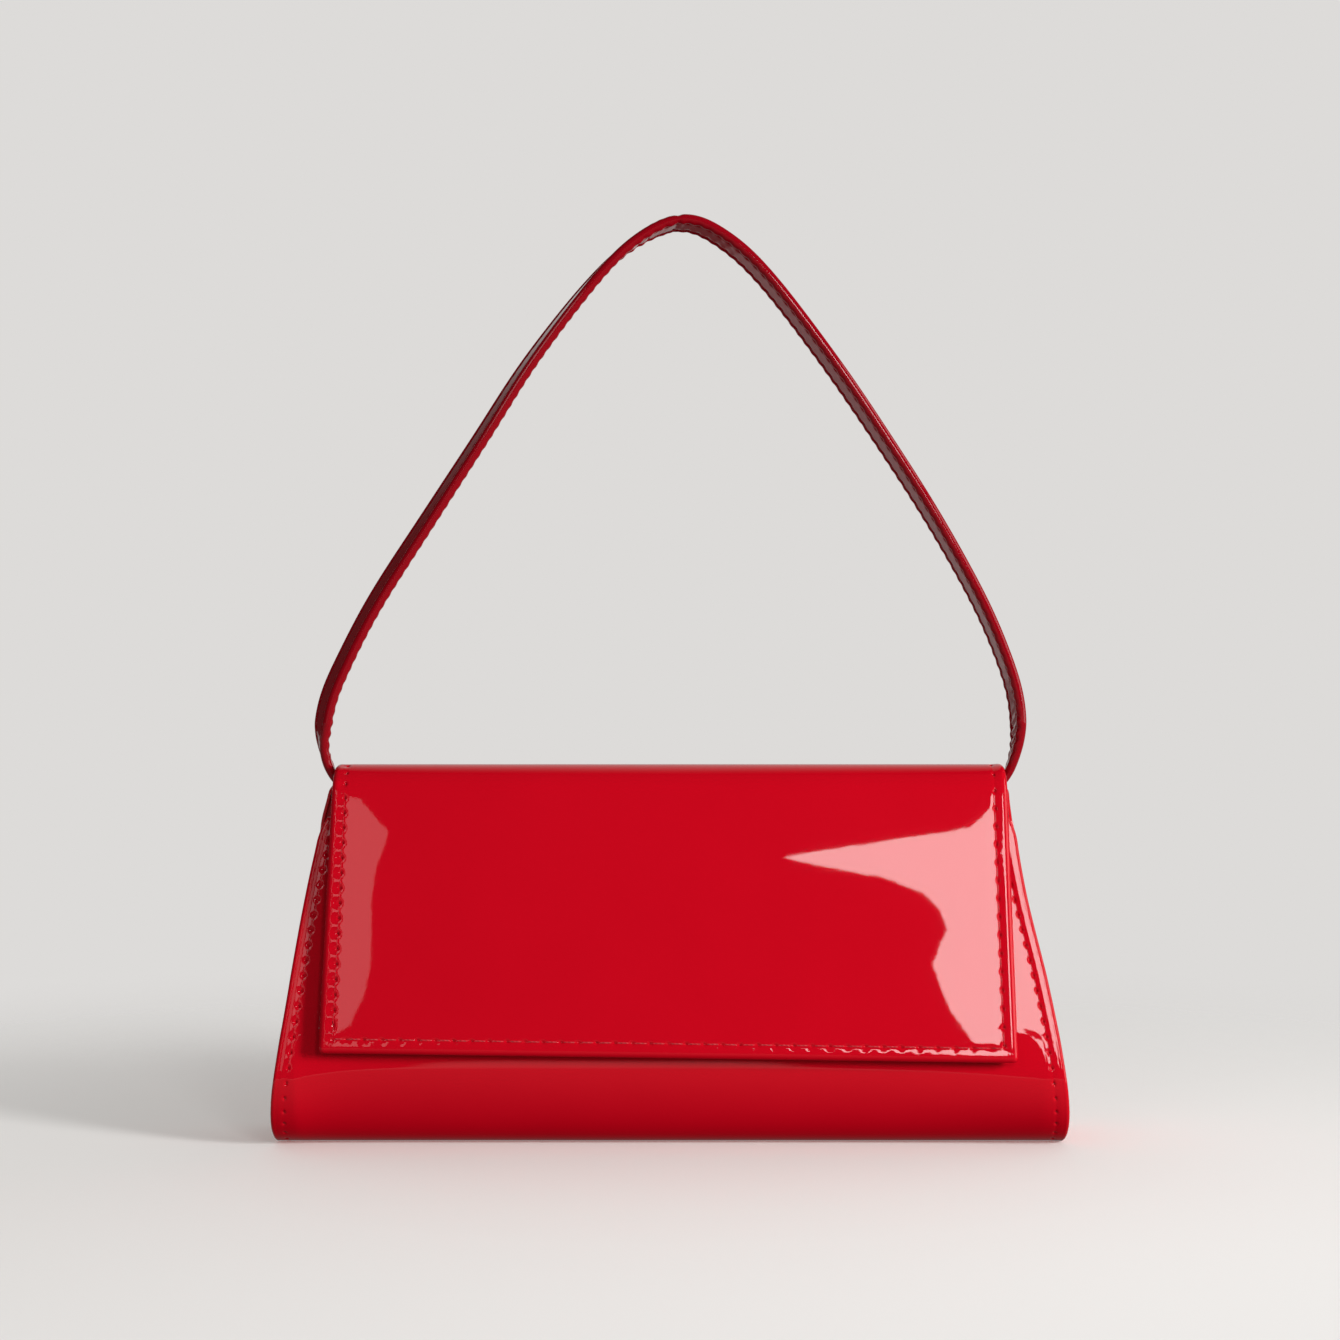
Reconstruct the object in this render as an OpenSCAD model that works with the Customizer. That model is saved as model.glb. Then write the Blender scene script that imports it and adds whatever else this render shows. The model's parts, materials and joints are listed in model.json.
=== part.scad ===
// Flap handbag in glossy sheet: a tapered case folded from one sheet, a stiffened flap that
// rolls over the top to the front, and a thin shoulder strap that stands in a pointed loop.
// Front is -Y, up is +Z, and the origin lies under the middle of the base.

/* [Case] */
// Width across the base
base_w = 260; // [230:1:290]
// Width across the fold line, where the back turns over into the flap
fold_w = 229; // [224:1:240]
// Depth of the case near its base
base_d = 60; // [54:1:72]
// Depth of the case at the fold line
fold_d = 19; // [17:0.5:24]
// Height of the fold line
fold_z = 115.2; // [110:0.2:125]
// How far the front panel's top edge lies below the fold line
mouth_drop = 7.2; // [6.6:0.1:12]
// Outer radius of the two long folds at the base
base_fold_r = 22; // [14:1:24]

/* [Layers] */
// Thickness of the glossy sheet
skin_t = 1; // [0.8:0.1:1.2]
// Thickness of the stiffening board in the case
board_t = 1.4; // [1:0.1:1.6]
// Thickness of the cloth lining
lining_t = 0.5; // [0.3:0.1:0.7]
// Clearance between two layers
ply_gap = 0.1; // [0.05:0.01:0.15]
// Width of sheet turned in along a cut edge
turn_w = 1; // [0.8:0.1:1.4]
// Width of the seam that joins each gusset to the panels
seam_w = 8; // [7:0.5:10]
// How far each gusset sinks in at its middle
gusset_sag = 3; // [2:0.5:4]
// Height of the facing strips inside the mouth
facing_h = 18; // [12:1:24]

/* [Pocket] */
// Width of the slip pocket on the inside of the back
pocket_w = 120; // [90:1:150]
// Height of the pocket's lower edge
pocket_z = 34; // [30:1:40]
// Height of the pocket from its lower edge to its mouth
pocket_h = 48; // [40:1:50]

/* [Flap] */
// Width of the flap at the fold line
flap_top_w = 221; // [210:1:222]
// Width of the flap at its free edge
flap_end_w = 225; // [214:1:226]
// Height of the flap's free edge when it is closed
flap_z = 31; // [29:0.5:50]
// Thickness of the board in the flap
flap_board_t = 1.2; // [1:0.1:1.4]
// Thickness of the flap's inner sheet
flap_lining_t = 1; // [0.8:0.1:1.2]
// Space that the snap keeps between the closed flap and the front panel
flap_gap = 2.4; // [2.2:0.1:3]
// Clearance between the case and the flap at the fold line
fold_gap = 0.3; // [0.2:0.05:0.4]

/* [Snap] */
// Radius of the magnetic snap
snap_r = 7; // [6:0.5:8]
// Height of the snap's centre on the front panel
snap_z = 58; // [50:1:70]
// Height that the snap's socket stands out of the front panel
socket_h = 1.5; // [1.4:0.05:1.6]
// Thickness of the stud's plate on the flap
plate_t = 0.55; // [0.4:0.05:0.6]
// Radius of the stud
stud_r = 2.4; // [2:0.1:2.6]
// Clearance round the stud in its socket
stud_gap = 0.5; // [0.45:0.05:0.6]
// Length of the stud below its plate
stud_h = 1.3; // [1:0.1:1.4]
// Thickness of the two washers that hold the snap's prongs
washer_t = 0.5; // [0.4:0.05:0.6]

/* [Strap] */
// Width of the strap
strap_w = 12; // [10:0.5:13]
// Thickness of the strap
strap_t = 3; // [2.8:0.1:3.2]
// Half the distance between the strap's two feet
foot_x = 114; // [113.5:0.1:116]
// Height above the fold line of the feet, where the strap swings
foot_lift = 6.3; // [5:0.1:9]
// Rise of the strap's loop above its feet
strap_rise = 186.8; // [170:0.2:210]
// Turn of the strap's faces towards the front, in degrees
strap_twist = 14; // [0:1:18]
// Width of the strap's narrowed ends
end_w = 7; // [6:0.5:8]
// Thickness of the strap's narrowed ends
end_t = 1.8; // [1.6:0.1:2]
// Length of each strap end that is sewn inside the gusset
end_sewn_h = 24; // [18:1:30]
// Radius of the round turn at each foot
foot_r = 1.9; // [1.7:0.1:2]

/* [Hidden] */

$fn = 64;
over = 1;               // overrun of every cut
arc_steps = 10;         // straight steps in each fold
patent = "#C40014";
cloth = "#5A1016";
board_grey = "#B9B2A6";
steel = "#C9CACD";

// Half of the case's extra base width that is left at each share of the fold line's height.
side_shares = [[0, 0.9], [0.03, 0.98], [0.09, 1], [0.15, 0.98], [0.3, 0.84], [0.5, 0.59],
               [0.7, 0.31], [0.85, 0.12], [1, 0]];

// Levels of the gussets' webs as shares of the fold line's height.
web_shares = [0.03, 0.045, 0.065, 0.09, 0.15, 0.22, 0.3, 0.5, 0.7, 0.85];

// The strap's centre line: sideways as a share of foot_x, upwards as a share of strap_rise.
strap_shares = [
    [-1, 0], [-1.028, 0.059], [-1.014, 0.131], [-0.961, 0.209], [-0.868, 0.317],
    [-0.716, 0.462], [-0.562, 0.607], [-0.41, 0.751], [-0.224, 0.896], [-0.096, 0.968],
    [0.039, 1], [0.161, 0.968], [0.287, 0.896], [0.469, 0.751], [0.63, 0.607],
    [0.781, 0.462], [0.913, 0.317], [0.989, 0.209], [1.025, 0.131], [1.028, 0.059], [1, 0]
];
strap_steps = 3;        // rings in each stretch of the strap between two points

// The case's levels, the lean of its panels, and how deep each layer lies under its surface.
mouth_z = fold_z - mouth_drop;
foot_z = fold_z + foot_lift;
fold_y = base_d / 2 - base_fold_r;
wall_dy = fold_y - fold_d / 2;
wall_dz = fold_z - base_fold_r;
lean = atan2(wall_dy, wall_dz) + asin(base_fold_r / sqrt(wall_dy * wall_dy + wall_dz * wall_dz));
board_in = skin_t + ply_gap;
lining_in = board_in + board_t + ply_gap;
wall_t = lining_in + lining_t;
pare_share = 0.8;
pared_t = skin_t * pare_share; // sheet of the facings and of the strap's inner ply
board_inset = seam_w + turn_w;
web_rise = base_fold_r;

// The flap's layers, and the roll that carries it over the top.
flap_lining_in = board_in + flap_board_t + ply_gap;
flap_t = flap_lining_in + flap_lining_t;
flap_off = flap_gap + flap_t;
roll_r = (fold_d / 2 * cos(lean) + flap_off / 2) / (cos(lean) * cos(lean));
roll_y = -flap_off / (2 * cos(lean));
roll_z = fold_z - roll_r * sin(lean);
fold_gap_deg = fold_gap / roll_r * 180 / PI;
flap_run = (fold_z - flap_z) / cos(lean);

// The snap's inner sizes.
shell_t = 0.35;
prong_w = 2;
prong_t = 0.5;
prong_share = 0.65;
prong_x = snap_r * prong_share;
slot_gap = 0.15;
magnet_t = socket_h - shell_t - ply_gap;
socket_hole_r = stud_r + stud_gap;
washer_r = snap_r - 2 * shell_t;

// The strap's inner sizes, and the sizes of its ends.
edge_round = 1;
flare_h = 16;
twist_h = 60;
end_bend_shares = [0.6, 0.8];
neck_share = 2 * foot_r / strap_w;
lining_off = skin_t + end_t + 2 * ply_gap
    + gusset_sag * pow(end_w / 2 / half_d(mouth_z, lining_in + pared_t), 2);

function reverse(list) = [for (i = [len(list) - 1 : -1 : 0]) list[i]];
function clamp01(v) = min(1, max(0, v));
function half_w(z) = fold_w / 2 + (base_w - fold_w) / 2 * lookup(z / fold_z, side_shares);
function on_circle(c, r, a) = [c[0] + r * cos(a), c[1] + r * sin(a)];

// Half depth of the case at height z, for the layer t under the outer surface.
function half_d(z, t) =
    z < base_fold_r + (base_fold_r - t) * sin(lean)
        ? fold_y + sqrt(max(0, pow(base_fold_r - t, 2) - pow(base_fold_r - z, 2)))
        : fold_d / 2 - t / cos(lean) + (fold_z - z) * tan(lean);

// Side view of the case's layer t under the outer surface, from front top to back top.
function case_line(t) = concat(
    [[-fold_d / 2 + t * cos(lean), fold_z - t * sin(lean)]],
    [for (i = [0 : arc_steps])
        on_circle([-fold_y, base_fold_r], base_fold_r - t, 180 - lean + i * (90 + lean) / arc_steps)],
    [for (i = [0 : arc_steps])
        on_circle([fold_y, base_fold_r], base_fold_r - t, 270 + i * (90 + lean) / arc_steps)],
    [[fold_d / 2 - t * cos(lean), fold_z - t * sin(lean)]]);

// Side view of the flap's layer t, from the fold line over the roll to cut short of the edge.
function flap_line(t, cut) = concat(
    [for (i = [0 : 2 * arc_steps])
        on_circle([roll_y, roll_z], roll_r - t,
                  lean + fold_gap_deg + i * (180 - 2 * lean - fold_gap_deg) / (2 * arc_steps))],
    [on_circle([roll_y, roll_z], roll_r - t, 180 - lean)
        - (flap_run - cut) * [sin(lean), cos(lean)]]);

module along_x(w) { rotate([90, 0, 90]) linear_extrude(w, center = true) children(); }
module along_y(d) { rotate([90, 0, 0]) linear_extrude(d, center = true) children(); }

// Front view of the case, drawn in by inset from its side edges.
module outline(inset) {
    side = [for (s = side_shares) [half_w(s[0] * fold_z) - inset, s[0] * fold_z]];
    tall = concat([side[0] - [0, over]], side, [side[len(side) - 1] + [0, over]]);
    polygon(concat(tall, [for (p = reverse(tall)) [-p[0], p[1]]]));
}

// One layer of the case: side is -1 for the front half, 1 for the back half and 0 for both.
module ply(t0, t1, inset, low, high, side) {
    intersection() {
        along_x(base_w) polygon(concat(case_line(t0), reverse(case_line(t1))));
        along_y(2 * base_d) outline(inset);
        translate([-base_w, side > 0 ? 0 : -base_d, low])
            cube([2 * base_w, (side == 0 ? 2 : 1) * base_d, high - low]);
    }
}

// One layer of the flap, drawn in by inset at its sides and by cut at its free edge.
module flap_ply(t0, t1, inset, cut) {
    top = fold_z + 2 * roll_r;
    intersection() {
        along_x(flap_end_w + 2 * over)
            polygon(concat(flap_line(t0, cut), reverse(flap_line(t1, cut))));
        along_y(2 * base_d) polygon([
            [flap_end_w / 2 - inset, flap_z - over], [flap_top_w / 2 - inset, fold_z],
            [flap_top_w / 2 - inset, top], [-flap_top_w / 2 + inset, top],
            [-flap_top_w / 2 + inset, fold_z], [-flap_end_w / 2 + inset, flap_z - over]
        ]);
    }
}

// Places its children on the front panel at the snap, with +Z out of the panel, t under it.
module at_snap(t) {
    translate([0, -half_d(snap_z, 0), snap_z]) rotate([90 - lean, 0, 0])
        translate([0, 0, -t]) children();
}

// Two flat prongs from low to high, or the slots that they pass through.
module prongs(low, high, grow) {
    for (s = [-1, 1])
        translate([s * prong_x - prong_t / 2 - grow, -prong_w / 2 - grow, low])
            cube([prong_t + 2 * grow, prong_w + 2 * grow, high - low]);
}

// A closed sheet between two grids of points, rows upwards and columns along +Y, a outside b.
module grid_sheet(a, b) {
    rows = len(a);
    cols = len(a[0]);
    flat = concat([for (row = a) for (p = row) p], [for (row = b) for (p = row) p]);
    n = rows * cols;
    quads = concat(
        [for (r = [0 : rows - 2]) for (c = [0 : cols - 2])
            let (i = r * cols + c) [i, i + cols, i + cols + 1, i + 1]],
        [for (r = [0 : rows - 2]) for (c = [0 : cols - 2])
            let (i = n + r * cols + c) [i, i + 1, i + cols + 1, i + cols]],
        [for (c = [0 : cols - 2]) [c, c + 1, n + c + 1, n + c]],
        [for (c = [0 : cols - 2])
            let (i = (rows - 1) * cols + c) [i + 1, i, n + i, n + i + 1]],
        [for (r = [0 : rows - 2]) let (i = r * cols) [i + cols, i, n + i, n + i + cols]],
        [for (r = [0 : rows - 2])
            let (i = r * cols + cols - 1) [i, i + cols, n + i + cols, n + i]]);
    polyhedron(flat, [for (q = quads) for (tri = [[q[0], q[1], q[2]], [q[0], q[2], q[3]]]) tri]);
}

// A web across the right end of the case, off inside the gusset's outer face: it is sewn flat
// round the base, and sinks in more and more above it.
module web(off, thick, t, low, high) {
    across = 8;
    levels = concat([low], [for (s = web_shares) s * fold_z], [high]);
    function at(z, c, deeper) = let (
        share = 2 * c / across - 1,
        sag = gusset_sag * clamp01((z - low) / web_rise) * (1 - share * share))
        [half_w(z) - seam_w + turn_w - off - deeper - sag, share * half_d(z, t), z];
    grid_sheet([for (z = levels) [for (c = [0 : across]) at(z, c, 0)]],
               [for (z = levels) [for (c = [0 : across]) at(z, c, thick)]]);
}

// The right gusset: a seam along the panels' inner faces, and the sunk web between them.
module gusset() {
    t0 = board_in;
    t1 = board_in + skin_t;
    union() {
        intersection() {
            along_x(base_w) polygon(concat(case_line(t0), reverse(case_line(t1))));
            along_y(2 * base_d) difference() {
                outline(turn_w + ply_gap);
                outline(seam_w);
                translate([-base_w, -over]) square([base_w, 2 * fold_z]);
            }
            translate([0, -base_d, 0]) cube([base_w, 2 * base_d, mouth_z - turn_w - ply_gap]);
        }
        web(0, skin_t, (t0 + t1) / 2, t1, mouth_z - turn_w - ply_gap);
    }
}

module body_wrap() {
    edge_in = board_in + skin_t;
    color(patent) difference() {
        union() {
            ply(0, skin_t, 0, -over, mouth_z, 0);
            ply(0, skin_t, 0, mouth_z - over, fold_z + over, 1);
            difference() {
                ply(0, edge_in, 0, -over, mouth_z, 0);
                along_y(2 * base_d) outline(turn_w);
            }
            ply(0, lining_in - ply_gap, turn_w / 2, mouth_z - turn_w, mouth_z, -1);
        }
        at_snap(skin_t + over) cylinder(r = socket_hole_r, h = skin_t + 2 * over);
        at_snap(0) prongs(-skin_t - over, over, slot_gap);
    }
}

module front_board() {
    color(board_grey) difference() {
        ply(board_in, board_in + board_t, board_inset, base_fold_r * (1 + sin(lean)),
            mouth_z - turn_w - ply_gap, -1);
        at_snap(board_in + board_t + over)
            cylinder(r = washer_r + slot_gap, h = washer_t + ply_gap + over);
        at_snap(0) prongs(-board_in - board_t - over, over, slot_gap);
    }
}

module base_board() {
    color(board_grey) translate([-half_w(0) + board_inset, -fold_y, board_in])
        cube([2 * (half_w(0) - board_inset), 2 * fold_y, board_t]);
}

module back_board() {
    color(board_grey)
        ply(board_in, board_in + board_t, board_inset, base_fold_r * (1 + sin(lean)),
            fold_z - board_t - turn_w, 1);
}

module gusset_right() { color(patent) gusset(); }

module gusset_left() { color(patent) mirror([1, 0, 0]) gusset(); }

module gusset_lining() {
    t = lining_in + pared_t + ply_gap;
    web(lining_off, lining_t, t, t, mouth_z - turn_w - ply_gap);
}

module gusset_lining_right() { color(cloth) gusset_lining(); }

module gusset_lining_left() { color(cloth) mirror([1, 0, 0]) gusset_lining(); }

module lining() {
    color(cloth) union() {
        ply(lining_in, wall_t, board_inset, -over, mouth_z - facing_h - ply_gap, 0);
        ply(lining_in, wall_t, board_inset, mouth_z - facing_h - over, fold_z - facing_h - ply_gap, 1);
    }
}

module front_facing() {
    color(patent) ply(lining_in, lining_in + pared_t, board_inset, mouth_z - facing_h, mouth_z, -1);
}

module back_facing() {
    color(patent) ply(lining_in, lining_in + pared_t, board_inset, fold_z - facing_h,
                      fold_z - board_t - turn_w, 1);
}

module slip_pocket() {
    inset = (base_w - pocket_w) / 2;
    color(cloth) intersection() {
        ply(wall_t + ply_gap, wall_t + ply_gap + 2 * lining_t, board_inset, pocket_z,
            pocket_z + pocket_h, 1);
        translate([-base_w / 2 + inset, 0, 0]) cube([pocket_w, base_d, fold_z]);
    }
}

module snap_socket() {
    color(steel) at_snap(0) {
        rotate_extrude() polygon([
            [socket_hole_r, 0], [socket_hole_r, socket_h], [snap_r - shell_t, socket_h],
            [snap_r, socket_h - shell_t], [snap_r, 0], [snap_r - shell_t, 0],
            [snap_r - shell_t, magnet_t + ply_gap], [socket_hole_r + shell_t, magnet_t + ply_gap],
            [socket_hole_r + shell_t, 0]
        ]);
        prongs(-board_in - board_t, -skin_t / 2, 0);
        for (s = [-1, 1]) translate([s * prong_x - prong_t / 2, -prong_w / 2, -skin_t / 2])
            cube([prong_t, prong_w, skin_t / 2 - ply_gap]);
    }
}

module snap_magnet() {
    color(board_grey) at_snap(0) rotate_extrude() translate([socket_hole_r + shell_t + ply_gap, 0])
        square([snap_r - socket_hole_r - 2 * shell_t - 2 * ply_gap, magnet_t]);
}

module snap_socket_washer() {
    color(steel) at_snap(board_in + board_t) difference() {
        cylinder(r = washer_r, h = washer_t);
        translate([0, 0, -over]) cylinder(r = socket_hole_r, h = washer_t + 2 * over);
        prongs(-over, washer_t + over, slot_gap / 2);
    }
}

// The ribbon of the right strap end: sewn inside the gusset, then out and up to the foot.
module strap_end() {
    inside = turn_w - seam_w - gusset_sag - skin_t - ply_gap - end_t / 2;
    sewn_steps = 4;
    sewn = [for (i = [0 : sewn_steps - 1]) let (z = mouth_z - end_sewn_h * (1 - i / sewn_steps))
        [half_w(z) + inside, z]];
    p0 = [half_w(mouth_z) + inside, mouth_z];
    p3 = [foot_x, foot_z - foot_r - fold_gap];
    rise = p3[1] - p0[1];
    p1 = p0 + [0, rise * end_bend_shares[0]];
    p2 = p3 - [0, rise * end_bend_shares[1]];
    steps = 12;
    function bez(s) = pow(1 - s, 3) * p0 + 3 * pow(1 - s, 2) * s * p1
        + 3 * (1 - s) * s * s * p2 + pow(s, 3) * p3;
    mid = concat(sewn, [for (i = [0 : steps]) bez(i / steps)]);
    last = len(mid) - 1;
    function across(i) = let (d = mid[min(last, i + 1)] - mid[max(0, i - 1)])
        [d[1], -d[0]] / norm(d) * end_t / 2;
    intersection() {
        along_y(end_w) polygon(concat(
            [for (i = [0 : last]) mid[i] + across(i)],
            [for (i = [last : -1 : 0]) mid[i] - across(i)]));
        along_x(2 * base_w) polygon([
            [-end_w / 2, 0], [end_w / 2, 0], [end_w / 2, p3[1] - end_w / 2],
            [foot_r, p3[1] + over], [-foot_r, p3[1] + over], [-end_w / 2, p3[1] - end_w / 2]
        ]);
    }
}

module strap_end_right() { color(patent) strap_end(); }

module strap_end_left() { color(patent) mirror([1, 0, 0]) strap_end(); }

module flap_skin() {
    color(patent) difference() {
        flap_ply(0, flap_lining_in + flap_lining_t / 2, 0, 0);
        flap_ply(skin_t, flap_t + over, turn_w, turn_w);
        translate([-base_w / 2, fold_d / 2 - flap_t - over, fold_z - base_fold_r])
            cube([base_w, 2 * flap_t, base_fold_r - flap_t]);
    }
}

module flap_board() {
    inset = turn_w + ply_gap;
    color(board_grey) difference() {
        intersection() {
            flap_ply(board_in, board_in + flap_board_t, inset, inset);
            translate([-base_w, -2 * base_d, 0]) cube([2 * base_w, 2 * base_d, roll_z]);
        }
        at_snap(-flap_gap) cylinder(r = washer_r + slot_gap, h = flap_lining_t + washer_t + 2 * ply_gap);
        at_snap(-flap_gap) prongs(0, flap_t, slot_gap);
    }
}

module flap_lining() {
    inset = turn_w + ply_gap;
    color(patent) difference() {
        flap_ply(flap_lining_in, flap_t, inset, inset);
        at_snap(-flap_gap) prongs(-over, flap_t, slot_gap);
    }
}

module snap_stud() {
    plate = flap_gap - plate_t;
    color(steel) at_snap(0) {
        translate([0, 0, plate]) rotate_extrude() polygon([
            [0, plate_t], [snap_r, plate_t], [snap_r, plate_t / 2], [snap_r - plate_t / 2, 0],
            [stud_r, 0], [stud_r, -stud_h + shell_t], [stud_r - shell_t, -stud_h], [0, -stud_h]
        ]);
        prongs(flap_gap - plate_t / 2, flap_gap + flap_lining_t + ply_gap + washer_t, 0);
    }
}

module snap_stud_washer() {
    color(steel) at_snap(-flap_gap - flap_lining_t - ply_gap / 2) difference() {
        cylinder(r = washer_r, h = washer_t);
        prongs(-over, washer_t + over, slot_gap / 2);
    }
}

// The strap's centre line, its faces' turn and its width share at each ring.
strap_pts = [for (s = strap_shares) [s[0] * foot_x, foot_z + s[1] * strap_rise]];
strap_rings = (len(strap_pts) - 1) * strap_steps;
function strap_knot(i) = strap_pts[min(len(strap_pts) - 1, max(0, i))];
function strap_at(ring) = let (
    i = min(len(strap_pts) - 2, floor(ring / strap_steps)),
    u = ring / strap_steps - i,
    a = strap_knot(i - 1), b = strap_knot(i), c = strap_knot(i + 1), d = strap_knot(i + 2))
    (2 * b + (c - a) * u + (2 * a - 5 * b + 4 * c - d) * u * u
        + (3 * b - a - 3 * c + d) * u * u * u) / 2;
function strap_open(ring) = clamp01((strap_at(ring)[1] - foot_z - foot_r) / flare_h);
function strap_turn(ring) = strap_twist * cos(180 * ring / strap_rings)
    * clamp01((strap_at(ring)[1] - foot_z - foot_r) / twist_h);

// Sweeps a section of [across, outward] points along the strap, with its ends closed by caps.
module strap_sweep(section, caps) {
    n = len(section);
    points = [for (ring = [0 : strap_rings]) let (
        d = strap_at(min(strap_rings, ring + 0.5)) - strap_at(max(0, ring - 0.5)),
        t = d / norm(d),
        turn = strap_turn(ring),
        wide = neck_share + (1 - neck_share) * strap_open(ring),
        out = [-t[1] * cos(turn), -sin(turn), t[0] * cos(turn)],
        side = [-t[1] * sin(turn), cos(turn), t[0] * sin(turn)],
        c = strap_at(ring))
        for (p = section) [c[0], 0, c[1]] + p[0] * wide * side + p[1] * out];
    sides = [for (ring = [0 : strap_rings - 1]) for (j = [0 : n - 1]) let (
        a = ring * n + j,
        b = ring * n + (j + 1) % n)
        // The diagonal runs the same way in every layer, so that no two layers cross.
        for (tri = section[(j + 1) % n][0] < section[j][0]
            ? [[a, a + n, b + n], [a, b + n, b]] : [[a, a + n, b], [b, a + n, b + n]]) tri];
    polyhedron(points, concat(sides, caps,
        [for (cap = caps) [for (j = reverse(cap)) strap_rings * n + j]]));
}

// The round turn at each foot of the strap.
module strap_feet(r) {
    for (s = [-1, 1]) translate([s * foot_x, 0, foot_z]) rotate([0, 90, 0])
        cylinder(r = r, h = strap_t + 2 * (r - foot_r), center = true);
}

module strap() {
    w = strap_w / 2;
    top = strap_t / 2;
    low = -top + pared_t + ply_gap;
    hollow = top - skin_t;
    color(patent) union() {
        strap_sweep([
            [w, low], [w, top - edge_round], [w - edge_round, top], [edge_round - w, top],
            [-w, top - edge_round], [-w, low], [skin_t - w, low], [skin_t - w, hollow],
            [w - skin_t, hollow], [w - skin_t, low]
        ], [[0, 1, 8, 9], [1, 2, 8], [2, 3, 7, 8], [3, 4, 7], [4, 5, 6, 7]]);
        strap_feet(foot_r);
    }
}

module strap_core() {
    w = strap_w / 2 - board_in;
    top = strap_t / 2 - board_in;
    low = -strap_t / 2 + pared_t + ply_gap;
    color(board_grey) difference() {
        strap_sweep([[w, low], [w, top], [-w, top], [-w, low]], [[0, 1, 2, 3]]);
        strap_feet(foot_r + ply_gap);
    }
}

module strap_backing() {
    w = strap_w / 2;
    low = -strap_t / 2;
    color(patent) difference() {
        strap_sweep([
            [w, low + pared_t], [-w, low + pared_t], [pared_t - w, low], [w - pared_t, low]
        ], [[0, 1, 2, 3]]);
        strap_feet(foot_r + ply_gap);
    }
}

body_wrap();
front_board();
base_board();
back_board();
gusset_left();
gusset_right();
gusset_lining_left();
gusset_lining_right();
lining();
front_facing();
back_facing();
slip_pocket();
snap_socket();
snap_magnet();
snap_socket_washer();
strap_end_left();
strap_end_right();
flap_skin();
flap_board();
flap_lining();
snap_stud();
snap_stud_washer();
strap();
strap_core();
strap_backing();
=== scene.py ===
"""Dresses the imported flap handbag: every visible surface, its materials, the light and the camera.

Lengths in this file are millimetres unless a name ends in _M. Mesh code turns them into metres.
Front is -Y, up is +Z, and the origin lies under the middle of the base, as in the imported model.
"""
import json
import math

import bmesh
import bpy
import numpy as np
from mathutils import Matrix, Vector

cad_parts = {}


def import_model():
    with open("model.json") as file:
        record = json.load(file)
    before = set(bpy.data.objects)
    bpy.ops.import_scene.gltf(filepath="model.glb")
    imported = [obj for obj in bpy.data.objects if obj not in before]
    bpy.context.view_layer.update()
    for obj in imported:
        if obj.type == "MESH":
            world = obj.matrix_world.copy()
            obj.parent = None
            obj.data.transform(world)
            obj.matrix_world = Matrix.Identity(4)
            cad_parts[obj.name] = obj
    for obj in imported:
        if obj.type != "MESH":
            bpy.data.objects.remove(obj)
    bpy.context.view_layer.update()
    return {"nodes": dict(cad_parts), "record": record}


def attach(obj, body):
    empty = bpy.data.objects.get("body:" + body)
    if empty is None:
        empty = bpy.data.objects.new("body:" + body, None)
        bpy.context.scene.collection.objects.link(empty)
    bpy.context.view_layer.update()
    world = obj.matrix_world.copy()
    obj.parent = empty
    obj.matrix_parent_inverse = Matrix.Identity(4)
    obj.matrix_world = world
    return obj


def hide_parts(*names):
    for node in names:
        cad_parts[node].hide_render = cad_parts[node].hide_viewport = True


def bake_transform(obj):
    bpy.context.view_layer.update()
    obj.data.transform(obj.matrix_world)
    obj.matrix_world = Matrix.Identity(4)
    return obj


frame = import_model()

MM = 0.001

# The case, as the part's source has it.
BASE_W, FOLD_W, BASE_D, FOLD_D, FOLD_Z = 260.0, 229.0, 60.0, 19.0, 115.2
FOLD_R = 22.0
MOUTH_Z = 108.0
SIDE_SHARES = [(0, 1.04), (0.03, 1.05), (0.06, 1.05), (0.09, 1.03), (0.15, 0.99), (0.3, 0.85),
               (0.5, 0.61), (0.7, 0.33), (0.85, 0.14), (1, 0)]
FOLD_Y = BASE_D / 2 - FOLD_R
LEAN = math.degrees(
    math.atan2(FOLD_Y - FOLD_D / 2, FOLD_Z - FOLD_R)
    + math.asin(FOLD_R / math.hypot(FOLD_Y - FOLD_D / 2, FOLD_Z - FOLD_R)))
SIN, COS = math.sin(math.radians(LEAN)), math.cos(math.radians(LEAN))

# The layers of the case, from its outer surface inwards.
SKIN_T, BOARD_T, LINING_T, GAP = 1.0, 1.4, 0.5, 0.1
BOARD_IN = SKIN_T + GAP
LINING_IN = BOARD_IN + BOARD_T + GAP
PARED_T = 0.8 * SKIN_T
SEAM_W, ROW_IN = 8.0, 4.5                    # the seams' width, and how far in their stitches lie
FACING_H = 18.0
FRONT_BOARD_TOP, BACK_BOARD_TOP = 1.2, 10.5  # how far the boards and facings end from the sheet's ends
FRONT_FACING_TOP, BACK_FACING_TOP = 0.6, BOARD_T + ROW_IN - 3.5
LINING_SIDE = 1.2        # how far the lining stays clear of the seams
POCKET_HALF, POCKET_LOW, POCKET_HIGH, POCKET_HEM = 60.0, 34.0, 82.0, 7.0

# What slack and wear have done to the case.
SAG = 3.0                # how far each end wall sinks in
SLACK = 2.8              # how much rounder the base folds are in the middle
SLACK_HALF, SLACK_ABOVE = 122.0, 14.0        # how far aside and above the folds that reaches
CORNER_IN, CORNER_H = 2.0, 9.0               # how the front panel's top corners round in
# How far the case leans to -X: how much, at which height, over what height; then the back's more.
CASE_ASIDE, BACK_ASIDE = (1.3, 84.0, 27.0), (0.4, 107.0, 7.0)
# How much wider than the front the back is on each side, by height.
BACK_FLARE = 1.3         # at the fold line
BACK_FLARES = [(58, 0), (75, 0.4), (85, 1.0), (92, 1.6), (97, 2.1), (102.4, 2.45), (107.5, 2.2),
               (112, 1.6), (115.2, BACK_FLARE), (125, 0.7)]

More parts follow.
